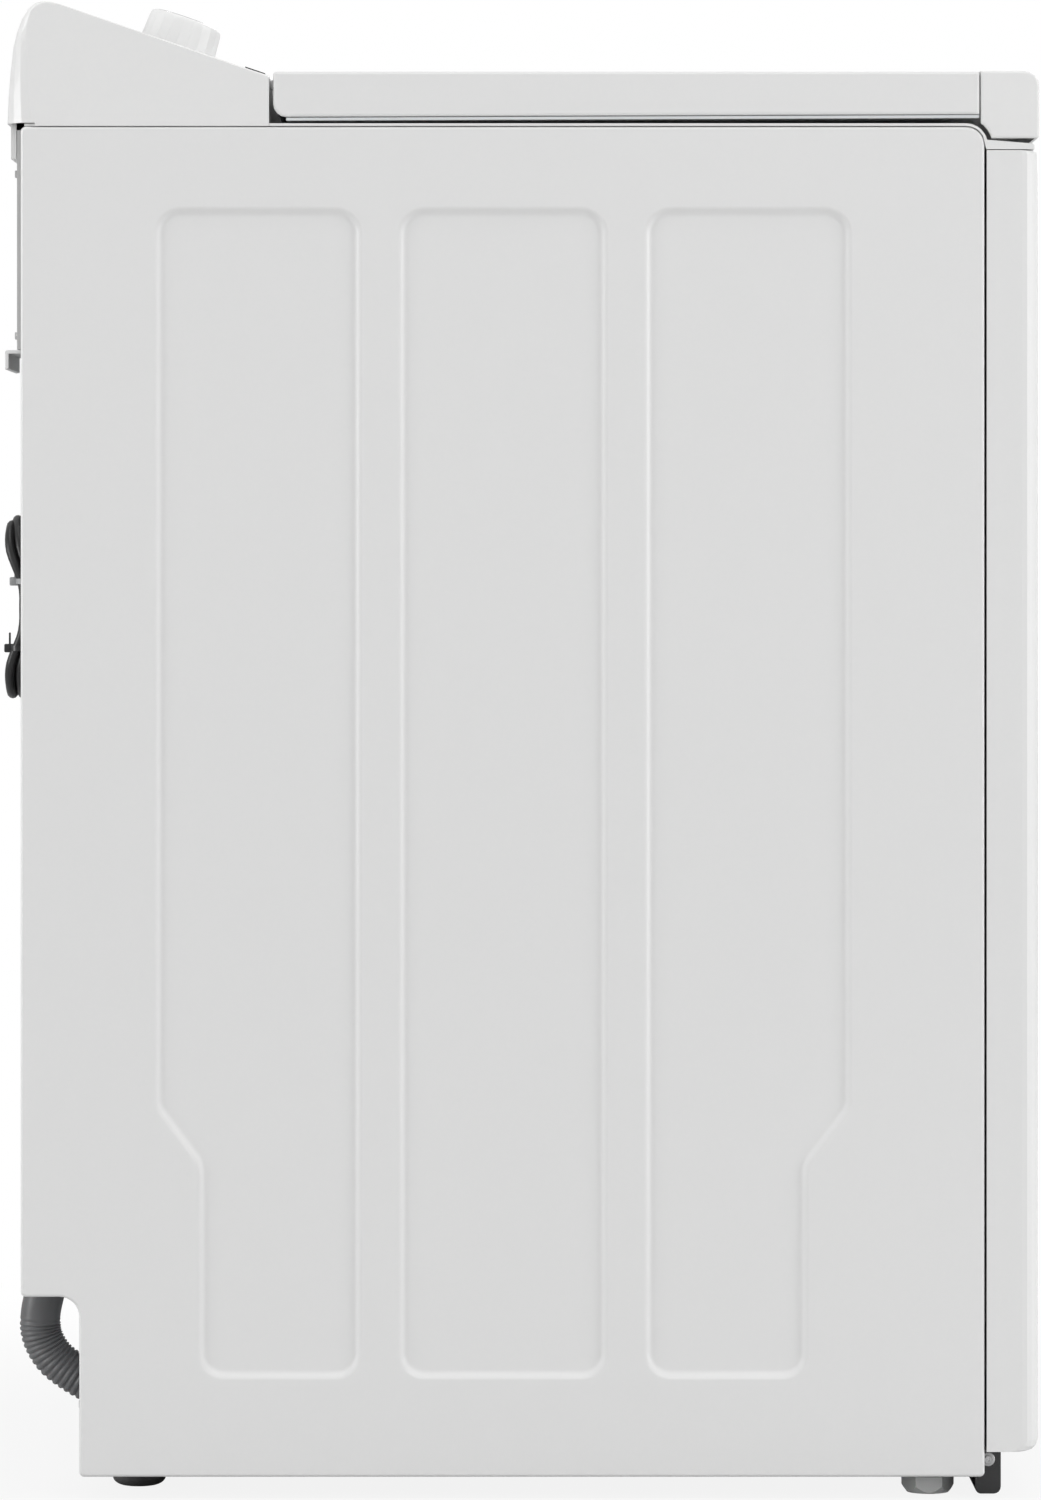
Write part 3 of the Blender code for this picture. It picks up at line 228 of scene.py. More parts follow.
TUB_PLASTIC = surface("tub_polypropylene", (0.66, 0.67, 0.68), (0.72, 0.73, 0.735), (0.42, 0.56),
                      (12.0, 0.7), 30.0, (("Noise", 500.0, 0.00006),), Subsurface_Weight=0.05)
DISPLAY = surface("display_black", (0.010, 0.010, 0.012), (0.016, 0.016, 0.019), (0.04, 0.09), (30.0, 0.7),
                  30.0, (("Noise", 200.0, 0.000004),), Coat_Weight=0.6, Coat_Roughness=0.03)
GLASS = surface("smoked_glass", (0.10, 0.105, 0.11), (0.12, 0.125, 0.13), (0.02, 0.05), (5.0, 0.7), 8.0,
                (("Noise", 6.0, 0.0002),), Transmission_Weight=0.55, IOR=1.46)
GREY_MARK = surface("marking_grey", (0.20, 0.20, 0.205), (0.25, 0.25, 0.255), (0.40, 0.50), (200.0, 0.7),
                    200.0)
HOT_RED = surface("hot_ring_red", (0.52, 0.03, 0.02), (0.60, 0.05, 0.03), (0.35, 0.45), (90.0, 0.7), 90.0)
COLD_BLUE = surface("cold_ring_blue", (0.02, 0.10, 0.45), (0.03, 0.14, 0.55), (0.35, 0.45), (90.0, 0.7),
                    90.0)
LAMP = surface("indicator_lamp", (0.30, 0.42, 0.46), (0.36, 0.48, 0.52), (0.20, 0.30), (90.0, 0.7), 90.0)

FINISH = {
    ENAMEL: ("side_panel_left", "side_panel_right", "front_panel", "lid_frame"),
    MOULDED_WHITE: ("top_cover", "console_housing", "lid_handle", "knob_body", "option_button_1",
                    "option_button_2", "option_button_3", "option_button_4", "power_button", "start_button",
                    "hose_hook"),
    TUB_PLASTIC: ("outer_tub", "tub_cover", "pulsator", "dispenser_housing", "detergent_drawer",
                  "lid_liner"),
    LIGHT_GREY: ("rear_service_cover",),
    GALVANISED: ("rear_panel",),
    MOULDED_GREY: ("foot_front_left", "foot_front_right", "lid_lock_housing", "hot_water_valve",
                   "cold_water_valve", "drain_pump", "clutch_coupling", "balance_ring"),
    BLACK_GLOSS: ("base_frame",),
    BLACK_MOULDED_AND_HOLE_SHADE: ("knob_bezel", "cord_strain_relief", "power_plug"),
    CORD_JACKET: ("power_cord", "power_cord_hank"),
    RUBBER: ("foot_rear_left", "foot_rear_right"),
    HOSE: ("drain_hose",),
    STAINLESS: ("wash_basket",),
    ZINC: ("hinge_bracket_left", "hinge_bracket_right", "lid_hinge_left", "lid_hinge_right", "lock_bolt",
           "strut_front_left", "strut_front_right", "strut_rear_left", "strut_rear_right", "upper_bearing",
           "lower_bearing", "motor_rotor", "drive_shaft"),
    CAST: ("basket_hub",),
    CHROME: ("knob_trim",),
    GLASS: ("lid_glass",),
    DISPLAY: ("display_window",),
    WINDING: ("motor_stator",),
    BOARD: ("control_board",),
}
for finish, names in FINISH.items():
    for name in names:
        for place in NODES[name].material_slots:
            place.material = finish

# ---------------------------------------------------------------- making pieces


def piece(name, bm, finish, body="cabinet", smooth_under=38, replaces=None, weighted=False):
    """An object from a bmesh, with its finish, that rides on a body and may stand in for CAD nodes."""
    mesh = bpy.data.meshes.new(name)
    bmesh.ops.recalc_face_normals(bm, faces=bm.faces)
    bm.to_mesh(mesh)
    bm.free()
    mesh.shade_smooth()
    mesh.set_sharp_from_angle(angle=math.radians(smooth_under))
    made = bpy.data.objects.new(name, mesh)
    bpy.context.scene.collection.objects.link(made)
    made.data.materials.append(finish)
    if weighted:
        modifier = made.modifiers.new("weighted", "WEIGHTED_NORMAL")
        modifier.keep_sharp = True
    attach(made, body)
    if replaces:
        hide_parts(*replaces)
    return made


def rounded(corners, segments=8):
    """A closed outline from (a, b, radius) corners, with each round corner as an arc of points."""
    points = []
    for i, (a, b, radius) in enumerate(corners):
        here = Vector((a, b))
        before = (Vector(corners[i - 1][:2]) - here).normalized()
        after = (Vector(corners[(i + 1) % len(corners)][:2]) - here).normalized()
        half = before.angle(after) / 2
        centre = here + (before + after).normalized() * (radius / math.sin(half))
        start = here + before * (radius / math.tan(half)) - centre
        sweep = start.angle_signed(here + after * (radius / math.tan(half)) - centre)
        for step in range(segments + 1):
            points.append(centre + Matrix.Rotation(-sweep * step / segments, 2) @ start)
    return points


def inset(corners, distance, least=0.0004):
    """The corners of an anticlockwise outline moved inwards, with their radii changed to match."""
    moved = []
    for i, (a, b, radius) in enumerate(corners):
        here = Vector((a, b))
        arriving = (here - Vector(corners[i - 1][:2])).normalized()
        leaving = (Vector(corners[(i + 1) % len(corners)][:2]) - here).normalized()
        inward_a = Vector((-arriving.y, arriving.x))
        inward_b = Vector((-leaving.y, leaving.x))
        shift = (inward_a + inward_b) * (distance / (1 + inward_a.dot(inward_b)))
        changed = radius - distance if arriving.cross(leaving) > 0 else radius + distance
        moved.append((here.x + shift.x, here.y + shift.y, max(changed, least)))
    return moved


def bridge(bm, first, second):
    """A band of quads between two rings of vertices."""
    for i in range(len(first)):
        j = (i + 1) % len(first)
        bm.faces.new((first[i], first[j], second[j], second[i]))


def loft(bm, rings, closed=False):
    """Bridges each ring to the next, and the last to the first when closed."""
    for first, second in zip(rings, rings[1:] + rings[:closed]):
        bridge(bm, first, second)


def lathe(bm, profile, segments, place):
    """A turned shape about local Z, from (radius, height) points, added to bm through place."""
    rings = []
    for radius, height in profile:
        count = segments if radius > 0 else 1
        rings.append([bm.verts.new(place @ Vector((radius * math.cos(2 * math.pi * i / segments),
                                                   radius * math.sin(2 * math.pi * i / segments),
                                                   height))) for i in range(count)])
    for ring, following in zip(rings, rings[1:] + rings[:1]):
        if len(ring) == 1 and len(following) == 1:
            continue
        for i in range(segments):
            j = (i + 1) % segments
            corners = [ring[i % len(ring)], ring[j % len(ring)], following[j % len(following)],
                       following[i % len(following)]]
            bm.faces.new(list(dict.fromkeys(corners)))


def aimed(at, direction):
    """A frame at a point with local Z along a direction."""
    return Matrix.Translation(Vector(at)) @ Vector(direction).to_track_quat("Z", "Y").to_matrix().to_4x4()


def rounded_block(bm, low, high, bevel=0.0006, segments=2):
    """A block with rounded edges, added to bm."""
    low, high = Vector(low), Vector(high)
    made = bmesh.ops.create_cube(bm, size=1.0, matrix=Matrix.Translation((low + high) / 2)
                                 @ Matrix.Diagonal((*(high - low), 1.0)))
    edges = list(dict.fromkeys(edge for vert in made["verts"] for edge in vert.link_edges))
    bmesh.ops.bevel(bm, geom=edges, offset=bevel, segments=segments, profile=0.5, affect="EDGES",
                    clamp_overlap=True)


def placed_block(bm, low, high, bevel, place):
    """A small rounded block made at the origin and added to bm through a frame."""
    small = bmesh.new()
    rounded_block(small, low, high, bevel, 1)
    bmesh.ops.transform(small, matrix=place, verts=small.verts)
    mesh = bpy.data.meshes.new("block")
    small.to_mesh(mesh)
    small.free()
    bm.from_mesh(mesh)
    bpy.data.meshes.remove(mesh)


def smooth_path(route, count):
    """Evenly spaced points on a Catmull-Rom curve through the route's points."""
    knots = [Vector(p) for p in route]
    knots = [2 * knots[0] - knots[1], *knots, 2 * knots[-1] - knots[-2]]
    fine = []
    for i in range(1, len(knots) - 2):
        before, here, there, after = knots[i - 1:i + 3]
        for step in range(24):
            t = step / 24
            square, cube = 2 * before - 5 * here + 4 * there - after, 3 * here - before - 3 * there + after
            fine.append(0.5 * (2 * here + (there - before) * t + square * t * t + cube * t ** 3))
    fine.append(knots[-2])
    lengths = [0.0]
    for a, b in zip(fine, fine[1:]):
        lengths.append(lengths[-1] + (b - a).length)
    points, k = [], 0
    for i in range(count):
        wanted = lengths[-1] * i / (count - 1)
        while k < len(fine) - 2 and lengths[k + 1] < wanted:
            k += 1
        share = (wanted - lengths[k]) / max(lengths[k + 1] - lengths[k], 1e-9)
        points.append(fine[k].lerp(fine[k + 1], min(share, 1.0)))
    return points, lengths[-1]


def sweep(bm, points, radii, segments):
    """A tube through points, with its radius given at each, and its rings kept from twisting."""
    direction = (points[1] - points[0]).normalized()
    side = direction.orthogonal().normalized()
    rings = []
    for i, (point, radius) in enumerate(zip(points, radii)):
        ahead = points[min(i + 1, len(points) - 1)] - points[max(i - 1, 0)]
        direction = ahead.normalized()
        side = (side - direction * side.dot(direction)).normalized()
        other = direction.cross(side)
        rings.append([bm.verts.new(point + (side * math.cos(a) + other * math.sin(a)) * radius)
                      for a in (2 * math.pi * k / segments for k in range(segments))])
    loft(bm, rings)
    bm.faces.new(rings[0][::-1])
    bm.faces.new(rings[-1])


# ---------------------------------------------------------------- the cabinet

FIELD_TOP, FIELD_BOTTOM = 0.9044, 0.0850
FIELD_STEP_TOP, FIELD_STEP_BOTTOM, FIELD_STEP_IN = 0.2744, 0.2345, 0.0305
FIELDS = ((0.2559, 0.1117, "rear"), (0.0851, -0.0606, None), (-0.0872, -0.2314, "front"))
FIELD_RADIUS, FIELD_DEPTH = 0.018, 0.0025
# Across a pressed edge: how far in, and the share of the full depth.
FIELD_EDGE = ((-0.0015, 0.0), (-0.0004, 0.04), (0.0006, 0.16), (0.0017, 0.38), (0.0028, 0.66),
              (0.0038, 0.86), (0.0049, 0.97), (0.0062, 1.0))


def field_corners(rear, front, stepped):
    """The outline of a pressed field, which may draw in towards its foot on one side."""
    corners = [(front, FIELD_BOTTOM), (rear, FIELD_BOTTOM), (rear, FIELD_TOP), (front, FIELD_TOP)]
    if stepped == "rear":
        narrow = rear - FIELD_STEP_IN
        corners[1:2] = [(narrow, FIELD_BOTTOM), (narrow, FIELD_STEP_BOTTOM), (rear, FIELD_STEP_TOP)]
    elif stepped == "front":
        narrow = front + FIELD_STEP_IN
        corners[0:1] = [(narrow, FIELD_BOTTOM)]
        corners.extend([(front, FIELD_STEP_TOP), (narrow, FIELD_STEP_BOTTOM)])
    return [(a, b, FIELD_RADIUS) for a, b in corners]


def side_panel(node):
    """A folded side: a rolled outer edge, a flat plate, and three fields pressed in with soft edges."""
    low, high = (Vector(v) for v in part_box(node))
    outward = -1 if low.x < 0 else 1
    skin = abs(low.x if outward < 0 else high.x)
    step_y, step_z = 0.309, 0.142
    outline = [(step_y, low.z, 0.0035), (step_y, step_z, 0.014), (high.y, step_z, 0.0035),
               (high.y, high.z, 0.0035), (low.y, high.z, 0.013), (low.y, low.z, 0.0035)]

    def place(p, depth):
        return (outward * (skin - depth), p[0], p[1])

    bm = bmesh.new()
    fold = 0.0022
    rings = []
    for k in range(6):
        turn = math.pi / 2 * k / 5
        points = rounded(inset(outline, fold * (1 - math.sin(turn)), 0.0012))
        rings.append([bm.verts.new(place(p, fold * (1 - math.cos(turn)))) for p in points])
    rings.append([bm.verts.new(place(p, 0.0138)) for p in rounded(inset(outline, 0.0, 0.0012))])
    loft(bm, rings)
    border = [bm.edges.get((rings[0][i - 1], rings[0][i])) for i in range(len(rings[0]))]
    for field in FIELDS:
        corners = field_corners(*field)
        steps = []
        for distance, share in FIELD_EDGE:
            points = rounded(inset(corners, distance), 10)
            steps.append([bm.verts.new(place(p, FIELD_DEPTH * share)) for p in points])
        loft(bm, steps)
        bm.faces.new(steps[-1])
        border += [bm.edges.get((steps[0][i - 1], steps[0][i])) for i in range(len(steps[0]))]
    bmesh.ops.triangle_fill(bm, use_beauty=True, use_dissolve=False, edges=border)
    made = piece(node.replace("side_panel", "pressed_side"), bm, ENAMEL, replaces=[node], weighted=True,
                 smooth_under=60)
    sheet = made.modifiers.new("sheet", "SOLIDIFY")
    sheet.thickness = 0.0010
    sheet.offset = -1.0
    if sum(poly.normal.x * poly.area for poly in made.data.polygons) * outward < 0:
        made.data.flip_normals()
    return made


side_panel("side_panel_left")
side_panel("side_panel_right")


# ---------------------------------------------------------------- the hose

HOSE_X, HOSE_END_X, HOSE_Y, HOSE_R = -0.293, -0.193, 0.3250, 0.0148
HOSE_ROUTE = (
    (HOSE_X, 0.200, 0.052), (HOSE_X, 0.240, 0.0530), (HOSE_X, 0.275, 0.0625), (HOSE_X, 0.300, 0.0740),
    (HOSE_X, 0.3165, 0.0832), (HOSE_X, 0.3300, 0.0940), (HOSE_X, 0.3382, 0.1080), (HOSE_X, 0.3398, 0.1220),
    (HOSE_X, 0.3370, 0.1380), (HOSE_X, 0.3300, 0.1620), (HOSE_X, 0.3262, 0.1850), (HOSE_X, HOSE_Y, 0.2100),
    (HOSE_X, HOSE_Y, 0.300), (HOSE_X, HOSE_Y, 0.450), (HOSE_X, HOSE_Y, 0.600), (HOSE_X, HOSE_Y, 0.700),
    (HOSE_X, HOSE_Y, 0.7365), (-0.2863, HOSE_Y, 0.7615), (-0.2680, HOSE_Y, 0.7798),
    (-0.2430, HOSE_Y, 0.7865), (-0.2180, HOSE_Y, 0.7798), (-0.1997, HOSE_Y, 0.7615),
    (HOSE_END_X, HOSE_Y, 0.7365), (HOSE_END_X, HOSE_Y, 0.700), (HOSE_END_X, HOSE_Y, 0.610),
    (HOSE_END_X, HOSE_Y, 0.520),
)


def drain_hose():
    """A ribbed hose, smooth behind the step of the cabinet and at its free end, which has a cuff."""
    depth, step = 0.0012, 0.00055
    _, length = smooth_path(HOSE_ROUTE, 2)
    count = int(length / step)
    points, length = smooth_path(HOSE_ROUTE, count)
    smooth_from = next(i for i, p in enumerate(points) if p.z > 0.119) * length / count
    radii = []
    ribs = 0.0
    for i in range(count):
        along = length * i / (count - 1)
        before = min(1.0, max(0.0, (smooth_from - along) / 0.040)) if along < smooth_from else 1.0
        ribs += step / (0.0026 + 0.0018 * before)
        plain = max(0.0, 1 - max(0.0, abs(along - smooth_from - 0.028) - 0.024) / 0.006)
        plain = max(plain, min(1.0, max(0.0, along - (length - 0.050)) / 0.004),
                    min(1.0, max(0.0, 0.030 - along) / 0.004))
        groove = (0.5 + 0.5 * math.cos(2 * math.pi * ribs)) ** 2.2
        ribbed = HOSE_R - 0.0002 - depth * groove
        radii.append(ribbed + (HOSE_R - 0.0007 - ribbed) * plain)
    bm = bmesh.new()
    sweep(bm, points, radii, 24)
    made = piece("ribbed_drain_hose", bm, HOSE, smooth_under=80, replaces=["drain_hose"])
    bm = bmesh.new()
    cuff = [(0.0112, 0.0), (0.0146, 0.0), (0.0147, 0.0010), (0.0147, 0.0048), (0.0143, 0.0056),
            (0.0112, 0.0056)]
    lathe(bm, cuff, 40, aimed((HOSE_END_X, HOSE_Y, 0.5145), (0, 0, 1)))
    piece("hose_cuff", bm, BLACK_MOULDED_AND_HOLE_SHADE)
    bm = bmesh.new()
    at = Vector(HOSE_ROUTE[2]).lerp(Vector(HOSE_ROUTE[3]), 0.85)
    along = Vector(HOSE_ROUTE[3]) - Vector(HOSE_ROUTE[2])
    band = [(HOSE_R, 0.0), (HOSE_R + 0.0011, 0.0), (HOSE_R + 0.0011, 0.0050), (HOSE_R, 0.0050)]
    lathe(bm, band, 40, aimed(at, along))
    rounded_block(bm, (HOSE_X - 0.0040, 0.3064, 0.0582), (HOSE_X + 0.0040, 0.3124, 0.0640))
    piece("hose_clip", bm, LIGHT_GREY)


drain_hose()

# ---------------------------------------------------------------- the mains lead

CORD_R = 0.0037
HANK_X, HANK_LOW, HANK_HIGH, HANK_HALF_W = -0.290, 0.560, 0.690, 0.0350
HANK_RUN = (HANK_LOW + HANK_HALF_W, HANK_HIGH - HANK_HALF_W)
# Each turn's radius at the ends, and its place in the pile.
HANK_TURNS = ((0.0313, 0.3521), (0.0313, 0.3595), (0.0235, 0.3595), (0.0235, 0.3521), (0.0235, 0.3447),
              (0.0313, 0.3447))
RELIEF = (-0.158, 0.3458, 0.7540)
LEAD = ((-0.158, 0.3458, 0.7536), (-0.158, 0.3458, 0.7440), (-0.158, 0.3458, 0.7300),
        (-0.164, 0.3462, 0.7000), (-0.188, 0.3475, 0.6680), (-0.222, 0.3495, 0.6500),
        (-0.2480, 0.3512, 0.6380))
PLUG_AT = (-0.2430, 0.3245, 0.5640)


def waist(z):
    """How far the bundle's runs are drawn in beside the hose, between the two ties."""
    near = min(1.0, max(0.0, 1 - (abs(z - 0.6245) - 0.010) / 0.038))
    return 0.0105 * (0.5 - 0.5 * math.cos(math.pi * near))


def hank_route():
    """The centreline of the folded lead, turn by turn."""
    low, high = HANK_RUN
    straight = high - low
    points = []
    steps = 32
    for turn, (radius, y) in enumerate(HANK_TURNS):
        next_radius, next_y = HANK_TURNS[min(turn + 1, len(HANK_TURNS) - 1)]
        around = 2 * straight + 2 * math.pi * radius
        for step in range(steps):
            along = around * step / steps
            top = max(0.0, along - 2 * straight - math.pi * radius) / (math.pi * radius)
            share = top * top * (3 - 2 * top)
            r, depth = radius + (next_radius - radius) * share, y + (next_y - y) * share
            if along < straight:
                x, z = r, high - along
            elif along < straight + math.pi * radius:
                turned = (along - straight) / radius
                x, z = r * math.cos(turned), low - r * math.sin(turned)
            elif along < 2 * straight + math.pi * radius:
                x, z = -r, low + along - straight - math.pi * radius
            else:
                x, z = -r * math.cos(math.pi * top), high + r * math.sin(math.pi * top)
            if turn == 0 and along < 0.040:
                continue
            points.append((HANK_X + x, depth - waist(z), z))
    return points


def mains_lead():
    """The lead, folded into six turns that two ties hold on the hose, with its plug below."""
    outer, y = HANK_TURNS[-1]
    right = HANK_X + outer
    tail = [(right, y - waist(z), z) for z in (0.655, 0.643)]
    tail += [(-0.2570, 0.3332, 0.625), (-0.2525, 0.3308, 0.608), (-0.2475, 0.3280, 0.591),
             (-0.2442, 0.3257, 0.577), PLUG_AT]
    route = [*LEAD, *hank_route(), *tail]
    curve = bpy.data.curves.new("mains_lead", "CURVE")
    curve.dimensions = "3D"
    points, length = smooth_path(route, 420)
    spline = curve.splines.new("POLY")
    spline.points.add(len(points) - 1)
    for point, at in zip(spline.points, points):
        point.co = (*at, 1.0)
    curve.bevel_depth = CORD_R
    curve.bevel_resolution = 4
    curve.use_fill_caps = True
    curve.materials.append(CORD_JACKET)
    lead = bpy.data.objects.new("mains_lead", curve)
    bpy.context.scene.collection.objects.link(lead)
    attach(lead, "cabinet")
    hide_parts("power_cord", "power_cord_hank")

    x, y, top = PLUG_AT
    bm = bmesh.new()
    stages = ((0.0000, 0.0050, 0.0050), (-0.0050, 0.0056, 0.0056), (-0.0065, 0.0048, 0.0048),
              (-0.0105, 0.0060, 0.0058), (-0.0120, 0.0052, 0.0052), (-0.0160, 0.0075, 0.0070),
              (-0.0200, 0.0118, 0.0092), (-0.0330, 0.0123, 0.0097), (-0.0370, 0.0118, 0.0092),
              (-0.0378, 0.0105, 0.0080))
    rings = []
    for drop, half_a, half_b in stages:
        corner = min(half_a, half_b) * 0.75
        outline = rounded([(-half_a, -half_b, corner), (half_a, -half_b, corner), (half_a, half_b, corner),
                           (-half_a, half_b, corner)], 6)
        rings.append([bm.verts.new((x + p.x, y + p.y, top + drop)) for p in outline])
    loft(bm, rings)
    bm.faces.new(rings[0])
    bm.faces.new(rings[-1])
    plug = piece("mains_plug", bm, BLACK_MOULDED_AND_HOLE_SHADE, smooth_under=50, replaces=["power_plug"])
    bm = bmesh.new()
    for dx, dy in ((-0.0063, -0.003), (0.0063, -0.003)):
        rounded_block(bm, (x + dx - 0.0008, y + dy - 0.0031, top - 0.0558),
                      (x + dx + 0.0008, y + dy + 0.0031, top - 0.0370), 0.0004)
    lathe(bm, [(0, 0), (0.0018, 0.0), (0.0024, 0.0008), (0.0024, 0.0180), (0, 0.0180)], 16,
          aimed((x, y + 0.0045, top - 0.0555), (0, 0, 1)))
    prongs = piece("plug_prongs", bm, BRASS)

    bm = bmesh.new()
    profile = [(0, 0.0240), (0.0092, 0.0240), (0.0092, 0.0205), (0.0074, 0.0190)]
    for k in range(4):
        step = 0.0180 - 0.0042 * k
        radius = 0.0072 - 0.0007 * k
        profile += [(radius, step), (radius - 0.0001, step - 0.0026), (radius - 0.0012, step - 0.0030),
                    (radius - 0.0012, step - 0.0038)]
    profile += [(0.0044, 0.0004), (0, 0.0004)]
    lathe(bm, profile, 28, aimed(RELIEF, (0, 0, 1)))
    rounded_block(bm, (RELIEF[0] - 0.0094, 0.3386, RELIEF[2] + 0.0165),
                  (RELIEF[0] + 0.0094, 0.3525, RELIEF[2] + 0.0239), 0.0012)
    piece("lead_strain_relief", bm, BLACK_MOULDED_AND_HOLE_SHADE, replaces=["cord_strain_relief"])


def bundle_ties():
    """The two ties round the folded lead and the hose, each with its head."""
    looks = ((0.596, BLACK_MOULDED_AND_HOLE_SHADE, "black_plastic"), (0.643, MOULDED_GREY, "grey_plastic"))
    for number, (z, finish, slot) in enumerate(looks, start=1):
        front = 0.3634 - waist(z)
        outline = [(HANK_X - 0.0358, 0.3092, 0.010), (HANK_X + 0.0358, 0.3092, 0.010),
                   (HANK_X + 0.0358, front, 0.006), (HANK_X - 0.0358, front, 0.006)]
        bm = bmesh.new()
        rings = []
        for grown, height in ((0.0, -0.0019), (-0.0009, -0.0019), (-0.0009, 0.0019), (0.0, 0.0019)):
            rings.append([bm.verts.new((p.x, p.y, z + height)) for p in rounded(inset(outline, grown))])
        loft(bm, rings, closed=True)
        rounded_block(bm, (HANK_X - 0.0300, front - 0.0015, z - 0.0030),
                      (HANK_X - 0.0235, front + 0.0054, z + 0.0030), 0.0009)
        rounded_block(bm, (HANK_X - 0.0285, front + 0.0010, z + 0.0028),
                      (HANK_X - 0.0250, front + 0.0022, z + 0.0110), 0.0004)
        piece(f"bundle_tie_{number}", bm, finish)


mains_lead()
bundle_ties()

# ---------------------------------------------------------------- screws and fittings


def screw(bm, at, direction, size=0.0036):
    """A hexagon head on its washer flange, with a recess in its crown."""
    place = aimed(at, direction)
    lathe(bm, [(0, 0), (size * 1.5, 0), (size * 1.5, size * 0.12), (size * 1.3, size * 0.24),
               (0, size * 0.24)], 24, place)
    lathe(bm, [(0, size * 0.2), (size, size * 0.2), (size, size * 0.72), (size * 0.88, size * 0.86),
               (size * 0.45, size * 0.86), (size * 0.36, size * 0.66), (0, size * 0.66)], 6, place)


def rear_fittings():
    """The rear panel's screws and beads, and the louvres of its service cover."""
    pad_y, strip_y, cover_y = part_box("rear_panel")[1][1], 0.3061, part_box("rear_service_cover")[1][1]
    bm = bmesh.new()
    for z in (0.190, 0.420, 0.640, 0.785):
        for x in (-0.1605, 0.3175):
            screw(bm, (x, pad_y, z), (0, 1, 0))
    for x in (-0.215, -0.060, 0.120, 0.300):
        screw(bm, (x, strip_y, 0.052), (0, 1, 0))
    for x in (-0.310, -0.100, 0.110, 0.308):
        screw(bm, (x, cover_y, 0.930), (0, 1, 0), 0.0030)
        screw(bm, (x, cover_y, 0.816), (0, 1, 0), 0.0030)
    piece("rear_screws", bm, ZINC)

    bm = bmesh.new()
    for group in (-0.235, -0.130):
        for k in range(7):
            z = 0.842 + 0.0095 * k
            rounded_block(bm, (group, cover_y - 0.0006, z), (group + 0.085, cover_y + 0.0011, z + 0.0040),
                          0.0005)
    piece("service_cover_louvres", bm, LIGHT_GREY)

    bm = bmesh.new()
    for x, low, high in ((-0.105, 0.200, 0.500), (0.080, 0.200, 0.760), (0.200, 0.200, 0.760)):
        corners = [(x - 0.016, low, 0.0159), (x + 0.016, low, 0.0159), (x + 0.016, high, 0.0159),
                   (x - 0.016, high, 0.0159)]
        steps = []
        for distance, rise in ((0.0, -0.0004), (0.0014, 0.0004), (0.0030, 0.0016), (0.0048, 0.0026),
                               (0.0070, 0.0031), (0.0100, 0.0033)):
            outline = rounded(inset(corners, distance), 8)
            steps.append([bm.verts.new((p.x, pad_y + rise, p.y)) for p in outline])
        loft(bm, steps)
        bm.faces.new(steps[-1])
        bm.faces.new(steps[0])
    piece("rear_panel_beads", bm, GALVANISED, smooth_under=60)


def valve_fittings():
    """The threads, coloured rings and inlet screens of the two water ports."""
    for node, ring, name in (("hot_water_valve", HOT_RED, "hot"), ("cold_water_valve", COLD_BLUE, "cold")):
        low, high = (Vector(v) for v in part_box(node))
        x, z = (low.x + high.x) / 2, (low.z + high.z) / 2
        bm = bmesh.new()
        profile = [(0.0127, 0.0)]
        for k in range(6):
            base = 0.0008 + 0.0018 * k
            profile += [(0.0127, base), (0.0135, base + 0.0006), (0.0135, base + 0.0009),
                        (0.0127, base + 0.0015)]
        profile += [(0.0127, 0.0122), (0.0100, 0.0124), (0.0100, 0.0)]
        lathe(bm, profile, 48, aimed((x, 0.3394, z), (0, 1, 0)))
        piece(f"{name}_port_thread", bm, MOULDED_GREY)
        bm = bmesh.new()
        lathe(bm, [(0.0138, 0.0), (0.0170, 0.0), (0.0170, 0.0008), (0.0164, 0.0012), (0.0138, 0.0012)], 40,
              aimed((x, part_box("rear_panel")[1][1], z), (0, 1, 0)))
        piece(f"{name}_port_ring", bm, ring)
        bm = bmesh.new()
        lathe(bm, [(0, 0), (0.0092, 0.0), (0.0092, 0.0008), (0, 0.0008)], 32,
              aimed((x, 0.3304, z), (0, 1, 0)))
        for k in range(-3, 4):
            rounded_block(bm, (x + 0.0026 * k - 0.0004, 0.3312, z - 0.0085 + abs(k) * 0.0009),
                          (x + 0.0026 * k + 0.0004, 0.3322, z + 0.0085 - abs(k) * 0.0009), 0.0002, 1)
        piece(f"{name}_port_screen", bm, ZINC)


def foot_fittings():
    """The threaded studs with their lock nuts, which ride with the feet."""
    for node in ("foot_front_left", "foot_front_right", "foot_rear_left", "foot_rear_right"):
        low, high = (Vector(v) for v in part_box(node))
        x, y = (low.x + high.x) / 2, (low.y + high.y) / 2
        bm = bmesh.new()
        profile = [(0.0049, 0.0127)]
        for k in range(22):
            base = 0.0130 + 0.0015 * k
            profile += [(0.0049, base), (0.0054, base + 0.0006), (0.0049, base + 0.0012)]
        profile += [(0.0049, 0.0470), (0, 0.0478), (0, 0.0127)]
        lathe(bm, profile, 24, aimed((x, y, 0.0), (0, 0, 1)))
        lathe(bm, [(0.0050, 0.0132), (0.0098, 0.0132), (0.0104, 0.0138), (0.0104, 0.0166), (0.0098, 0.0172),
                   (0.0050, 0.0172)], 6, aimed((x, y, 0.0), (0, 0, 1)))
        piece(f"{node}_stud", bm, ZINC, f"{node}_body")


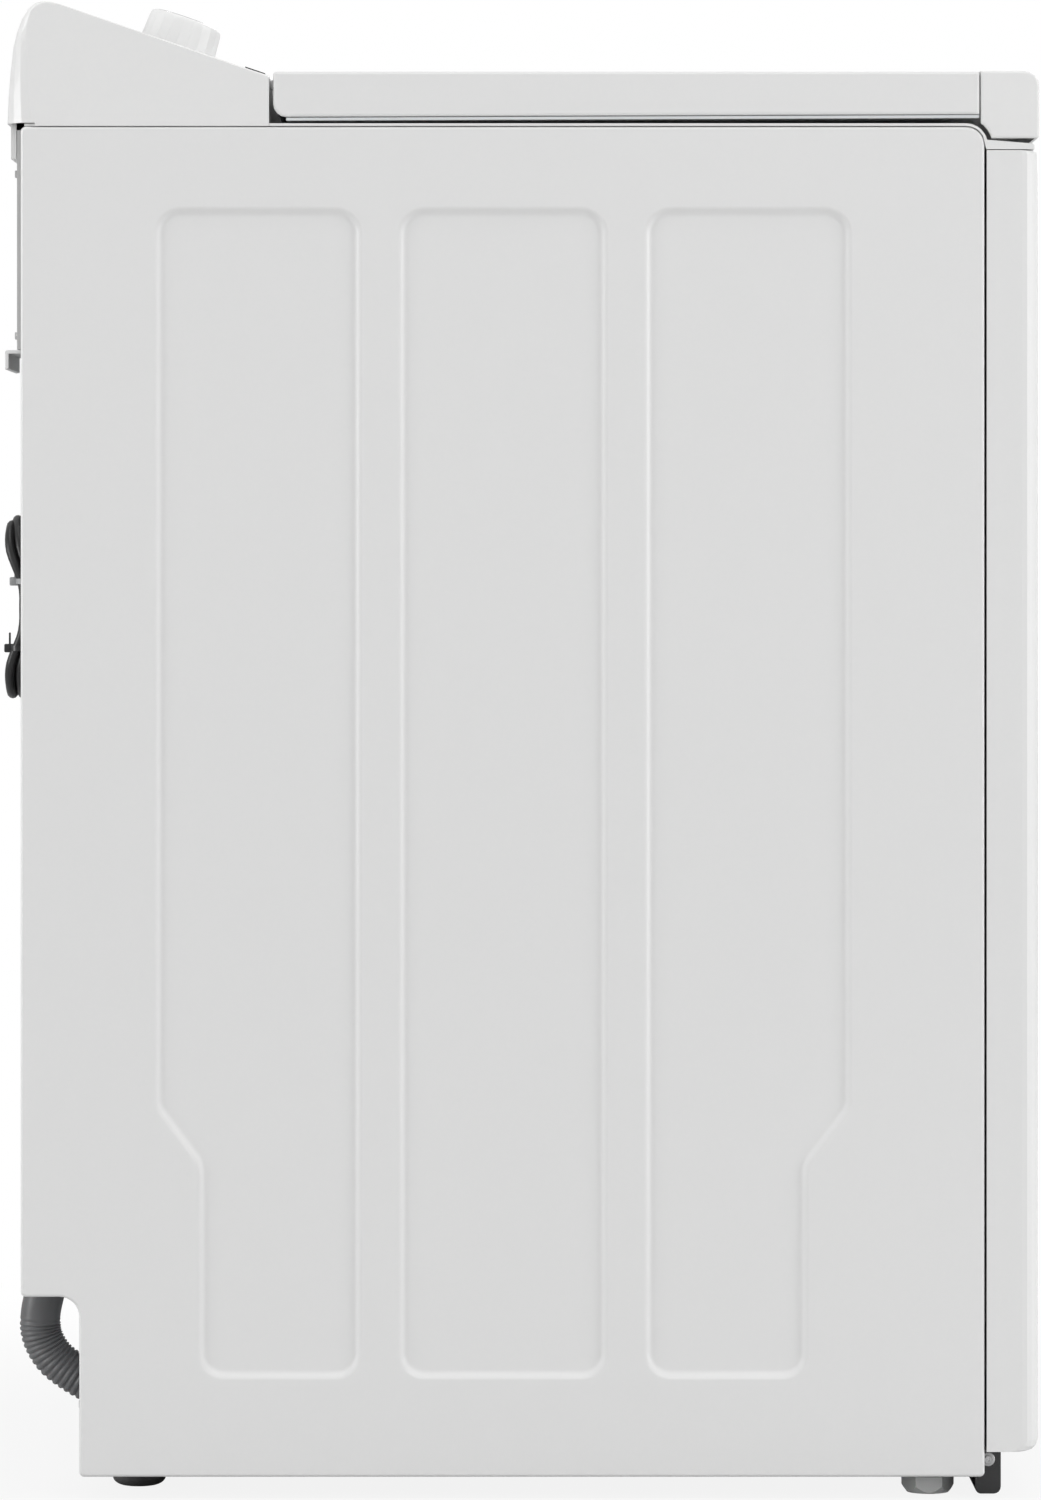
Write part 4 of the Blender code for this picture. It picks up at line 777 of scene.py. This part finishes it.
def feet():
    """Moulded hexagon feet with chamfered corners at the front, and soft bowls at the rear."""
    for side in ("left", "right"):
        node = f"foot_front_{side}"
        low, high = (Vector(v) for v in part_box(node))
        centre = Vector(((low.x + high.x) / 2, (low.y + high.y) / 2, 0.0))
        across = (high.y - low.y) / 2 * math.cos(math.pi / 6)
        bm = bmesh.new()
        rings = [[] for _ in range(7)]
        for k in range(72):
            turn = 2 * math.pi * k / 72
            edge = across / math.cos((turn + math.pi / 6) % (math.pi / 3) - math.pi / 6)
            chamfer = max(0.0, edge - 0.0158) * 1.75
            levels = ((0.0100, 0.0), (0.0148, 0.0), (edge - 0.0005, chamfer), (edge, chamfer + 0.0006),
                      (edge, 0.0117), (edge - 0.0008, 0.0125), (0.0052, 0.0125))
            for ring, (r, z) in zip(rings, levels):
                ring.append(bm.verts.new(centre + Vector((r * math.cos(turn), r * math.sin(turn), z))))
        loft(bm, rings)
        bm.faces.new(rings[0])
        bm.faces.new(rings[-1])
        piece(f"{node}_hexagon", bm, FOOT_WHITE, f"{node}_body", replaces=[node])
        node = f"foot_rear_{side}"
        low, high = (Vector(v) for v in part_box(node))
        bm = bmesh.new()
        profile = [(0, 0)]
        for k in range(9):
            turn = math.pi / 2 * k / 8
            profile.append((0.0095 + 0.0093 * math.sin(turn), 0.0060 * (1 - math.cos(turn))))
        profile += [(0.0188, 0.0098), (0.0184, 0.0106), (0.0125, 0.0127), (0, 0.0127)]
        lathe(bm, profile, 48, aimed(((low.x + high.x) / 2, (low.y + high.y) / 2, 0.0), (0, 0, 1)))
        piece(f"{node}_pad", bm, RUBBER, f"{node}_body", replaces=[node])


def base_screws():
    """The screw at each side of the base's front."""
    bm = bmesh.new()
    for outward in (-1, 1):
        screw(bm, (outward * 0.3262, -0.3285, 0.0262), (outward, 0, 0), 0.0032)
    piece("base_screws", bm, ZINC)


rear_fittings()
valve_fittings()
foot_fittings()
feet()
base_screws()

# ---------------------------------------------------------------- the controls


SLOPE_LOW, SLOPE_HIGH = (0, 0.1768, 0.9982), (0, 0.3238, 1.0484)  # the lower and upper edges of the slope


def slope_frame(x, along):
    """A frame on the console's slope: local Z points out of it, and along is up from its lower edge."""
    low, high = Vector(SLOPE_LOW), Vector(SLOPE_HIGH)
    uphill = (high - low).normalized()
    out = Vector((1, 0, 0)).cross(uphill)
    at = low + uphill * along + Vector((x, 0, 0))
    return Matrix(((1, uphill.x, out.x, at.x), (0, uphill.y, out.y, at.y), (0, uphill.z, out.z, at.z),
                   (0, 0, 0, 1)))


KNOB = slope_frame(-0.200, 0.0767)
FACETS = 22


def knob():
    """The knob: softly faceted round its side, with a rounded crown, a chrome ring and a plain cap."""
    count = FACETS * 8
    stages = ((0.0288, 0.0006, 0.0), (0.0288, 0.0040, 0.0), (0.0285, 0.0046, 0.0), (0.0280, 0.0052, 0.6),
              (0.0268, 0.0220, 1.0), (0.0264, 0.0243, 0.8), (0.0257, 0.0257, 0.4), (0.0246, 0.0264, 0.1),
              (0.0237, 0.0267, 0.0), (0.0228, 0.0267, 0.0), (0.0228, 0.0250, 0.0))
    bm = bmesh.new()
    rings = []
    for radius, height, facet in stages:
        ring = []
        for i in range(count):
            turn = 2 * math.pi * i / count
            within = (turn * FACETS / (2 * math.pi)) % 1.0 - 0.5
            flat = math.cos(math.pi / FACETS) / math.cos(2 * math.pi / FACETS * within)
            r = radius * (1 + (flat - 1) * facet * 1.6)
            ring.append(bm.verts.new(KNOB @ Vector((r * math.cos(turn), r * math.sin(turn), height))))
        rings.append(ring)
    loft(bm, rings)
    bm.faces.new(rings[0])
    bm.faces.new(rings[-1])
    made = piece("knob_shell", bm, MOULDED_WHITE, "knob", 18, ["knob_body"], weighted=True)
    bm = bmesh.new()
    lathe(bm, [(0.0205, 0.0258), (0.0228, 0.0258), (0.0228, 0.0268), (0.0224, 0.0271), (0.0216, 0.0272),
               (0.0208, 0.0271), (0.0205, 0.0268)], 96, KNOB)
    piece("knob_ring", bm, CHROME, "knob", replaces=["knob_trim"])
    bm = bmesh.new()
    lathe(bm, [(0, 0.0255), (0.0205, 0.0255), (0.0205, 0.0266), (0.0190, 0.0264), (0.0080, 0.0262),
               (0, 0.0262)], 96, KNOB)
    piece("knob_cap", bm, MOULDED_WHITE, "knob")
    bm = bmesh.new()
    rounded_block(bm, (-0.0006, 0.0120, 0.0262), (0.0006, 0.0190, 0.0268), 0.0002, 1)
    bmesh.ops.transform(bm, matrix=KNOB, verts=bm.verts)
    piece("knob_pointer", bm, GREY_MARK, "knob")


TICK_R, MARK_RISE = 0.0345, 0.00025  # the ticks' inner radius, and how far a printed mark stands proud
DISPLAY_FACE = 0.0009  # the display's face above the slope
OPTION_X, ROUND_BUTTON_X = (0.165, 0.205, 0.245, 0.285), (0.190, 0.260)


def console_marks():
    """Plain ticks round the knob, dots beside the buttons, and unlit lamps in the display."""
    bm = bmesh.new()
    for k in range(16):
        turn = math.radians(-120 + 240 * k / 15 + 90)
        long = 0.0052 if k % 5 == 0 else 0.0034
        placed_block(bm, (TICK_R, -0.00035, 0.0), (TICK_R + long, 0.00035, MARK_RISE), 0.0001,
                     KNOB @ Matrix.Rotation(turn, 4, "Z"))
    for x in OPTION_X:
        lathe(bm, [(0, 0), (0.0009, 0), (0.0009, MARK_RISE), (0, MARK_RISE)], 16, slope_frame(x, 0.0205))
    for x in ROUND_BUTTON_X:
        lathe(bm, [(0.0172, 0), (0.0178, 0), (0.0178, MARK_RISE), (0.0172, MARK_RISE)], 64,
              slope_frame(x, 0.0740))
    piece("console_marks", bm, GREY_MARK)
    bm = bmesh.new()
    for k in range(10):
        place = slope_frame(-0.120 + 0.014 * k, 0.0135) @ Matrix.Translation((0, 0, DISPLAY_FACE))
        lathe(bm, [(0, 0), (0.0011, 0), (0.0011, 0.0002), (0, 0.0002)], 16, place)
    for digit in range(3):
        for a0, b0, a1, b1 in ((0.0, 0.0, 0.0036, 0.0007), (0.0, 0.0042, 0.0036, 0.0049),
                               (0.0, 0.0084, 0.0036, 0.0091), (-0.0006, 0.0009, 0.0001, 0.0040),
                               (-0.0006, 0.0051, 0.0001, 0.0082), (0.0035, 0.0009, 0.0042, 0.0040),
                               (0.0035, 0.0051, 0.0042, 0.0082)):
            placed_block(bm, (a0, b0, DISPLAY_FACE), (a1, b1, 0.00105), 0.00005,
                         slope_frame(0.060 + 0.0075 * digit, 0.0060))
    piece("display_lamps", bm, LAMP)


knob()
console_marks()

# ---------------------------------------------------------------- the tub, the basket and the wash plate

TUB_Y = -0.025
PLATE_R, PLATE_TOP, FINS = 0.2290, 0.2978, 6


def wash_plate():
    """The pulsator: a shallow dish with six swept fins that rise to a domed middle."""
    rings, around = 44, 180
    bm = bmesh.new()
    rows = []
    for k in range(rings + 1):
        radius = 0.004 + (PLATE_R - 0.004) * k / rings
        row = []
        for i in range(around):
            turn = 2 * math.pi * i / around
            share = radius / PLATE_R
            dish = 0.2640 + 0.0060 * share ** 3
            dome = 0.0310 * math.exp(-(radius / 0.040) ** 2)
            fin = max(0.0, math.cos(FINS * (turn - 1.1 * share))) ** 5
            rise = 0.0200 * fin * min(1.0, max(0.0, (share - 0.12) / 0.15))
            rise *= max(0.0, min(1.0, (0.97 - share) / 0.22))
            z = min(dish + dome + rise * (1 - 0.35 * share), PLATE_TOP)
            row.append(bm.verts.new((radius * math.cos(turn), TUB_Y + radius * math.sin(turn), z)))
        rows.append(row)
    lip = [bm.verts.new((0.2298 * math.cos(a), TUB_Y + 0.2298 * math.sin(a),
                         0.2580)) for a in (2 * math.pi * i / around for i in range(around))]
    rows.append(lip)
    loft(bm, rows)
    bm.faces.new(rows[0])
    bm.faces.new(lip)
    piece("swept_pulsator", bm, TUB_PLASTIC, "drive", 50, ["pulsator"])
    bm = bmesh.new()
    lathe(bm, [(0, 0.2976), (0.0180, 0.2958), (0.0186, 0.2936), (0.0186, 0.2900), (0, 0.2900)], 48,
          Matrix.Translation((0, TUB_Y, 0)))
    piece("pulsator_cap", bm, MOULDED_GREY, "drive")


def basket_holes_with_painted_shade():
    """The rows of drain holes in the basket's wall, each a rolled rim round a black disc of painted shade
    in place of an opening.
    """
    wall = (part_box("wash_basket")[1][0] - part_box("wash_basket")[0][0]) / 2 - 0.0013
    rims, hole_shade = bmesh.new(), bmesh.new()
    for row in range(22):
        z = 0.290 + 0.0225 * row
        for k in range(48):
            if k % 12 in (0, 11):
                continue
            turn = 2 * math.pi * (k + 0.5 * (row % 2)) / 48
            out = Vector((math.cos(turn), math.sin(turn), 0))
            place = aimed(Vector((0, TUB_Y, z)) + out * (wall * math.cos(math.pi / 48) - 0.0001), -out)
            lathe(rims, [(0.0021, 0.0), (0.0032, 0.0), (0.0030, 0.0007), (0.0023, 0.0007)], 10, place)
            # A black disc inside each rim is painted shade, standing in for the dark seen through the hole.
            lathe(hole_shade, [(0, 0.0), (0.0021, 0.0), (0.0021, 0.0003), (0, 0.0003)], 10, place)
    piece("basket_hole_rims", rims, STAINLESS, "basket")
    piece("basket_holes_with_painted_shade", hole_shade, BLACK_MOULDED_AND_HOLE_SHADE, "basket")


def lid_fittings():
    """Rubber stops under the lid, and the dark band round its glass."""
    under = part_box("lid_liner")[0][2]
    bm = bmesh.new()
    for x in (-0.300, 0.300):
        for y in (-0.235, 0.120):
            lathe(bm, [(0, under), (0.0070, under), (0.0070, under - 0.0008), (0.0060, under - 0.0016),
                       (0, under - 0.0016)], 28, Matrix.Translation((x, y, 0)))
    piece("lid_stops", bm, RUBBER, "lid")
    low, high = (Vector(v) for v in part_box("lid_glass"))
    corners = [(low.x, low.y, 0.0196), (high.x, low.y, 0.0196), (high.x, high.y, 0.0196),
               (low.x, high.y, 0.0196)]
    bm = bmesh.new()
    rings = []
    for distance, height in ((0.0006, low.z - 0.0001), (0.0260, low.z - 0.0001), (0.0260, low.z - 0.0010),
                             (0.0006, low.z - 0.0010)):
        rings.append([bm.verts.new((p.x, p.y, height)) for p in rounded(inset(corners, distance), 8)])
    loft(bm, rings, closed=True)
    piece("lid_glass_band", bm, BLACK_MOULDED_AND_HOLE_SHADE, "lid")


wash_plate()
basket_holes_with_painted_shade()
lid_fittings()


# ---------------------------------------------------------------- the floor


def floor():
    """A pale floor that fades into the white surround away from the machine."""
    bm = bmesh.new()
    bmesh.ops.create_circle(bm, cap_ends=True, segments=96, radius=24.0)
    mesh = bpy.data.meshes.new("studio_floor")
    bm.to_mesh(mesh)
    bm.free()
    made = bpy.data.objects.new("studio_floor", mesh)
    bpy.context.scene.collection.objects.link(made)
    finish = bpy.data.materials.new("studio_floor")
    finish.use_nodes = True
    tree = finish.node_tree
    shader = tree.nodes["Principled BSDF"]
    shader.inputs["Base Color"].default_value = (0.56, 0.56, 0.56, 1.0)
    shader.inputs["Roughness"].default_value = 0.7
    shader.inputs["Specular IOR Level"].default_value = 0.1
    glow = tree.nodes.new("ShaderNodeEmission")
    glow.inputs["Color"].default_value = (1.0, 1.0, 1.0, 1.0)
    mix = tree.nodes.new("ShaderNodeMixShader")
    place = tree.nodes.new("ShaderNodeTexCoord")
    span = tree.nodes.new("ShaderNodeVectorMath")
    span.operation = "LENGTH"
    link(tree, place.outputs["Object"], span, 0)
    reach = tree.nodes.new("ShaderNodeMapRange")
    reach.interpolation_type = "SMOOTHSTEP"
    reach.inputs["From Min"].default_value = 0.40
    reach.inputs["From Max"].default_value = 1.1
    reach.inputs["To Min"].default_value = 0.88
    link(tree, span.outputs["Value"], reach, "Value")
    seen = tree.nodes.new("ShaderNodeMath")
    seen.operation = "MULTIPLY"
    link(tree, reach.outputs["Result"], seen, 0)
    link(tree, tree.nodes.new("ShaderNodeLightPath").outputs["Is Camera Ray"], seen, 1)
    link(tree, seen.outputs["Value"], mix, "Fac")
    tree.links.new(shader.outputs["BSDF"], mix.inputs[1])
    tree.links.new(glow.outputs["Emission"], mix.inputs[2])
    tree.links.new(mix.outputs["Shader"], tree.nodes["Material Output"].inputs["Surface"])
    made.data.materials.append(finish)


floor()
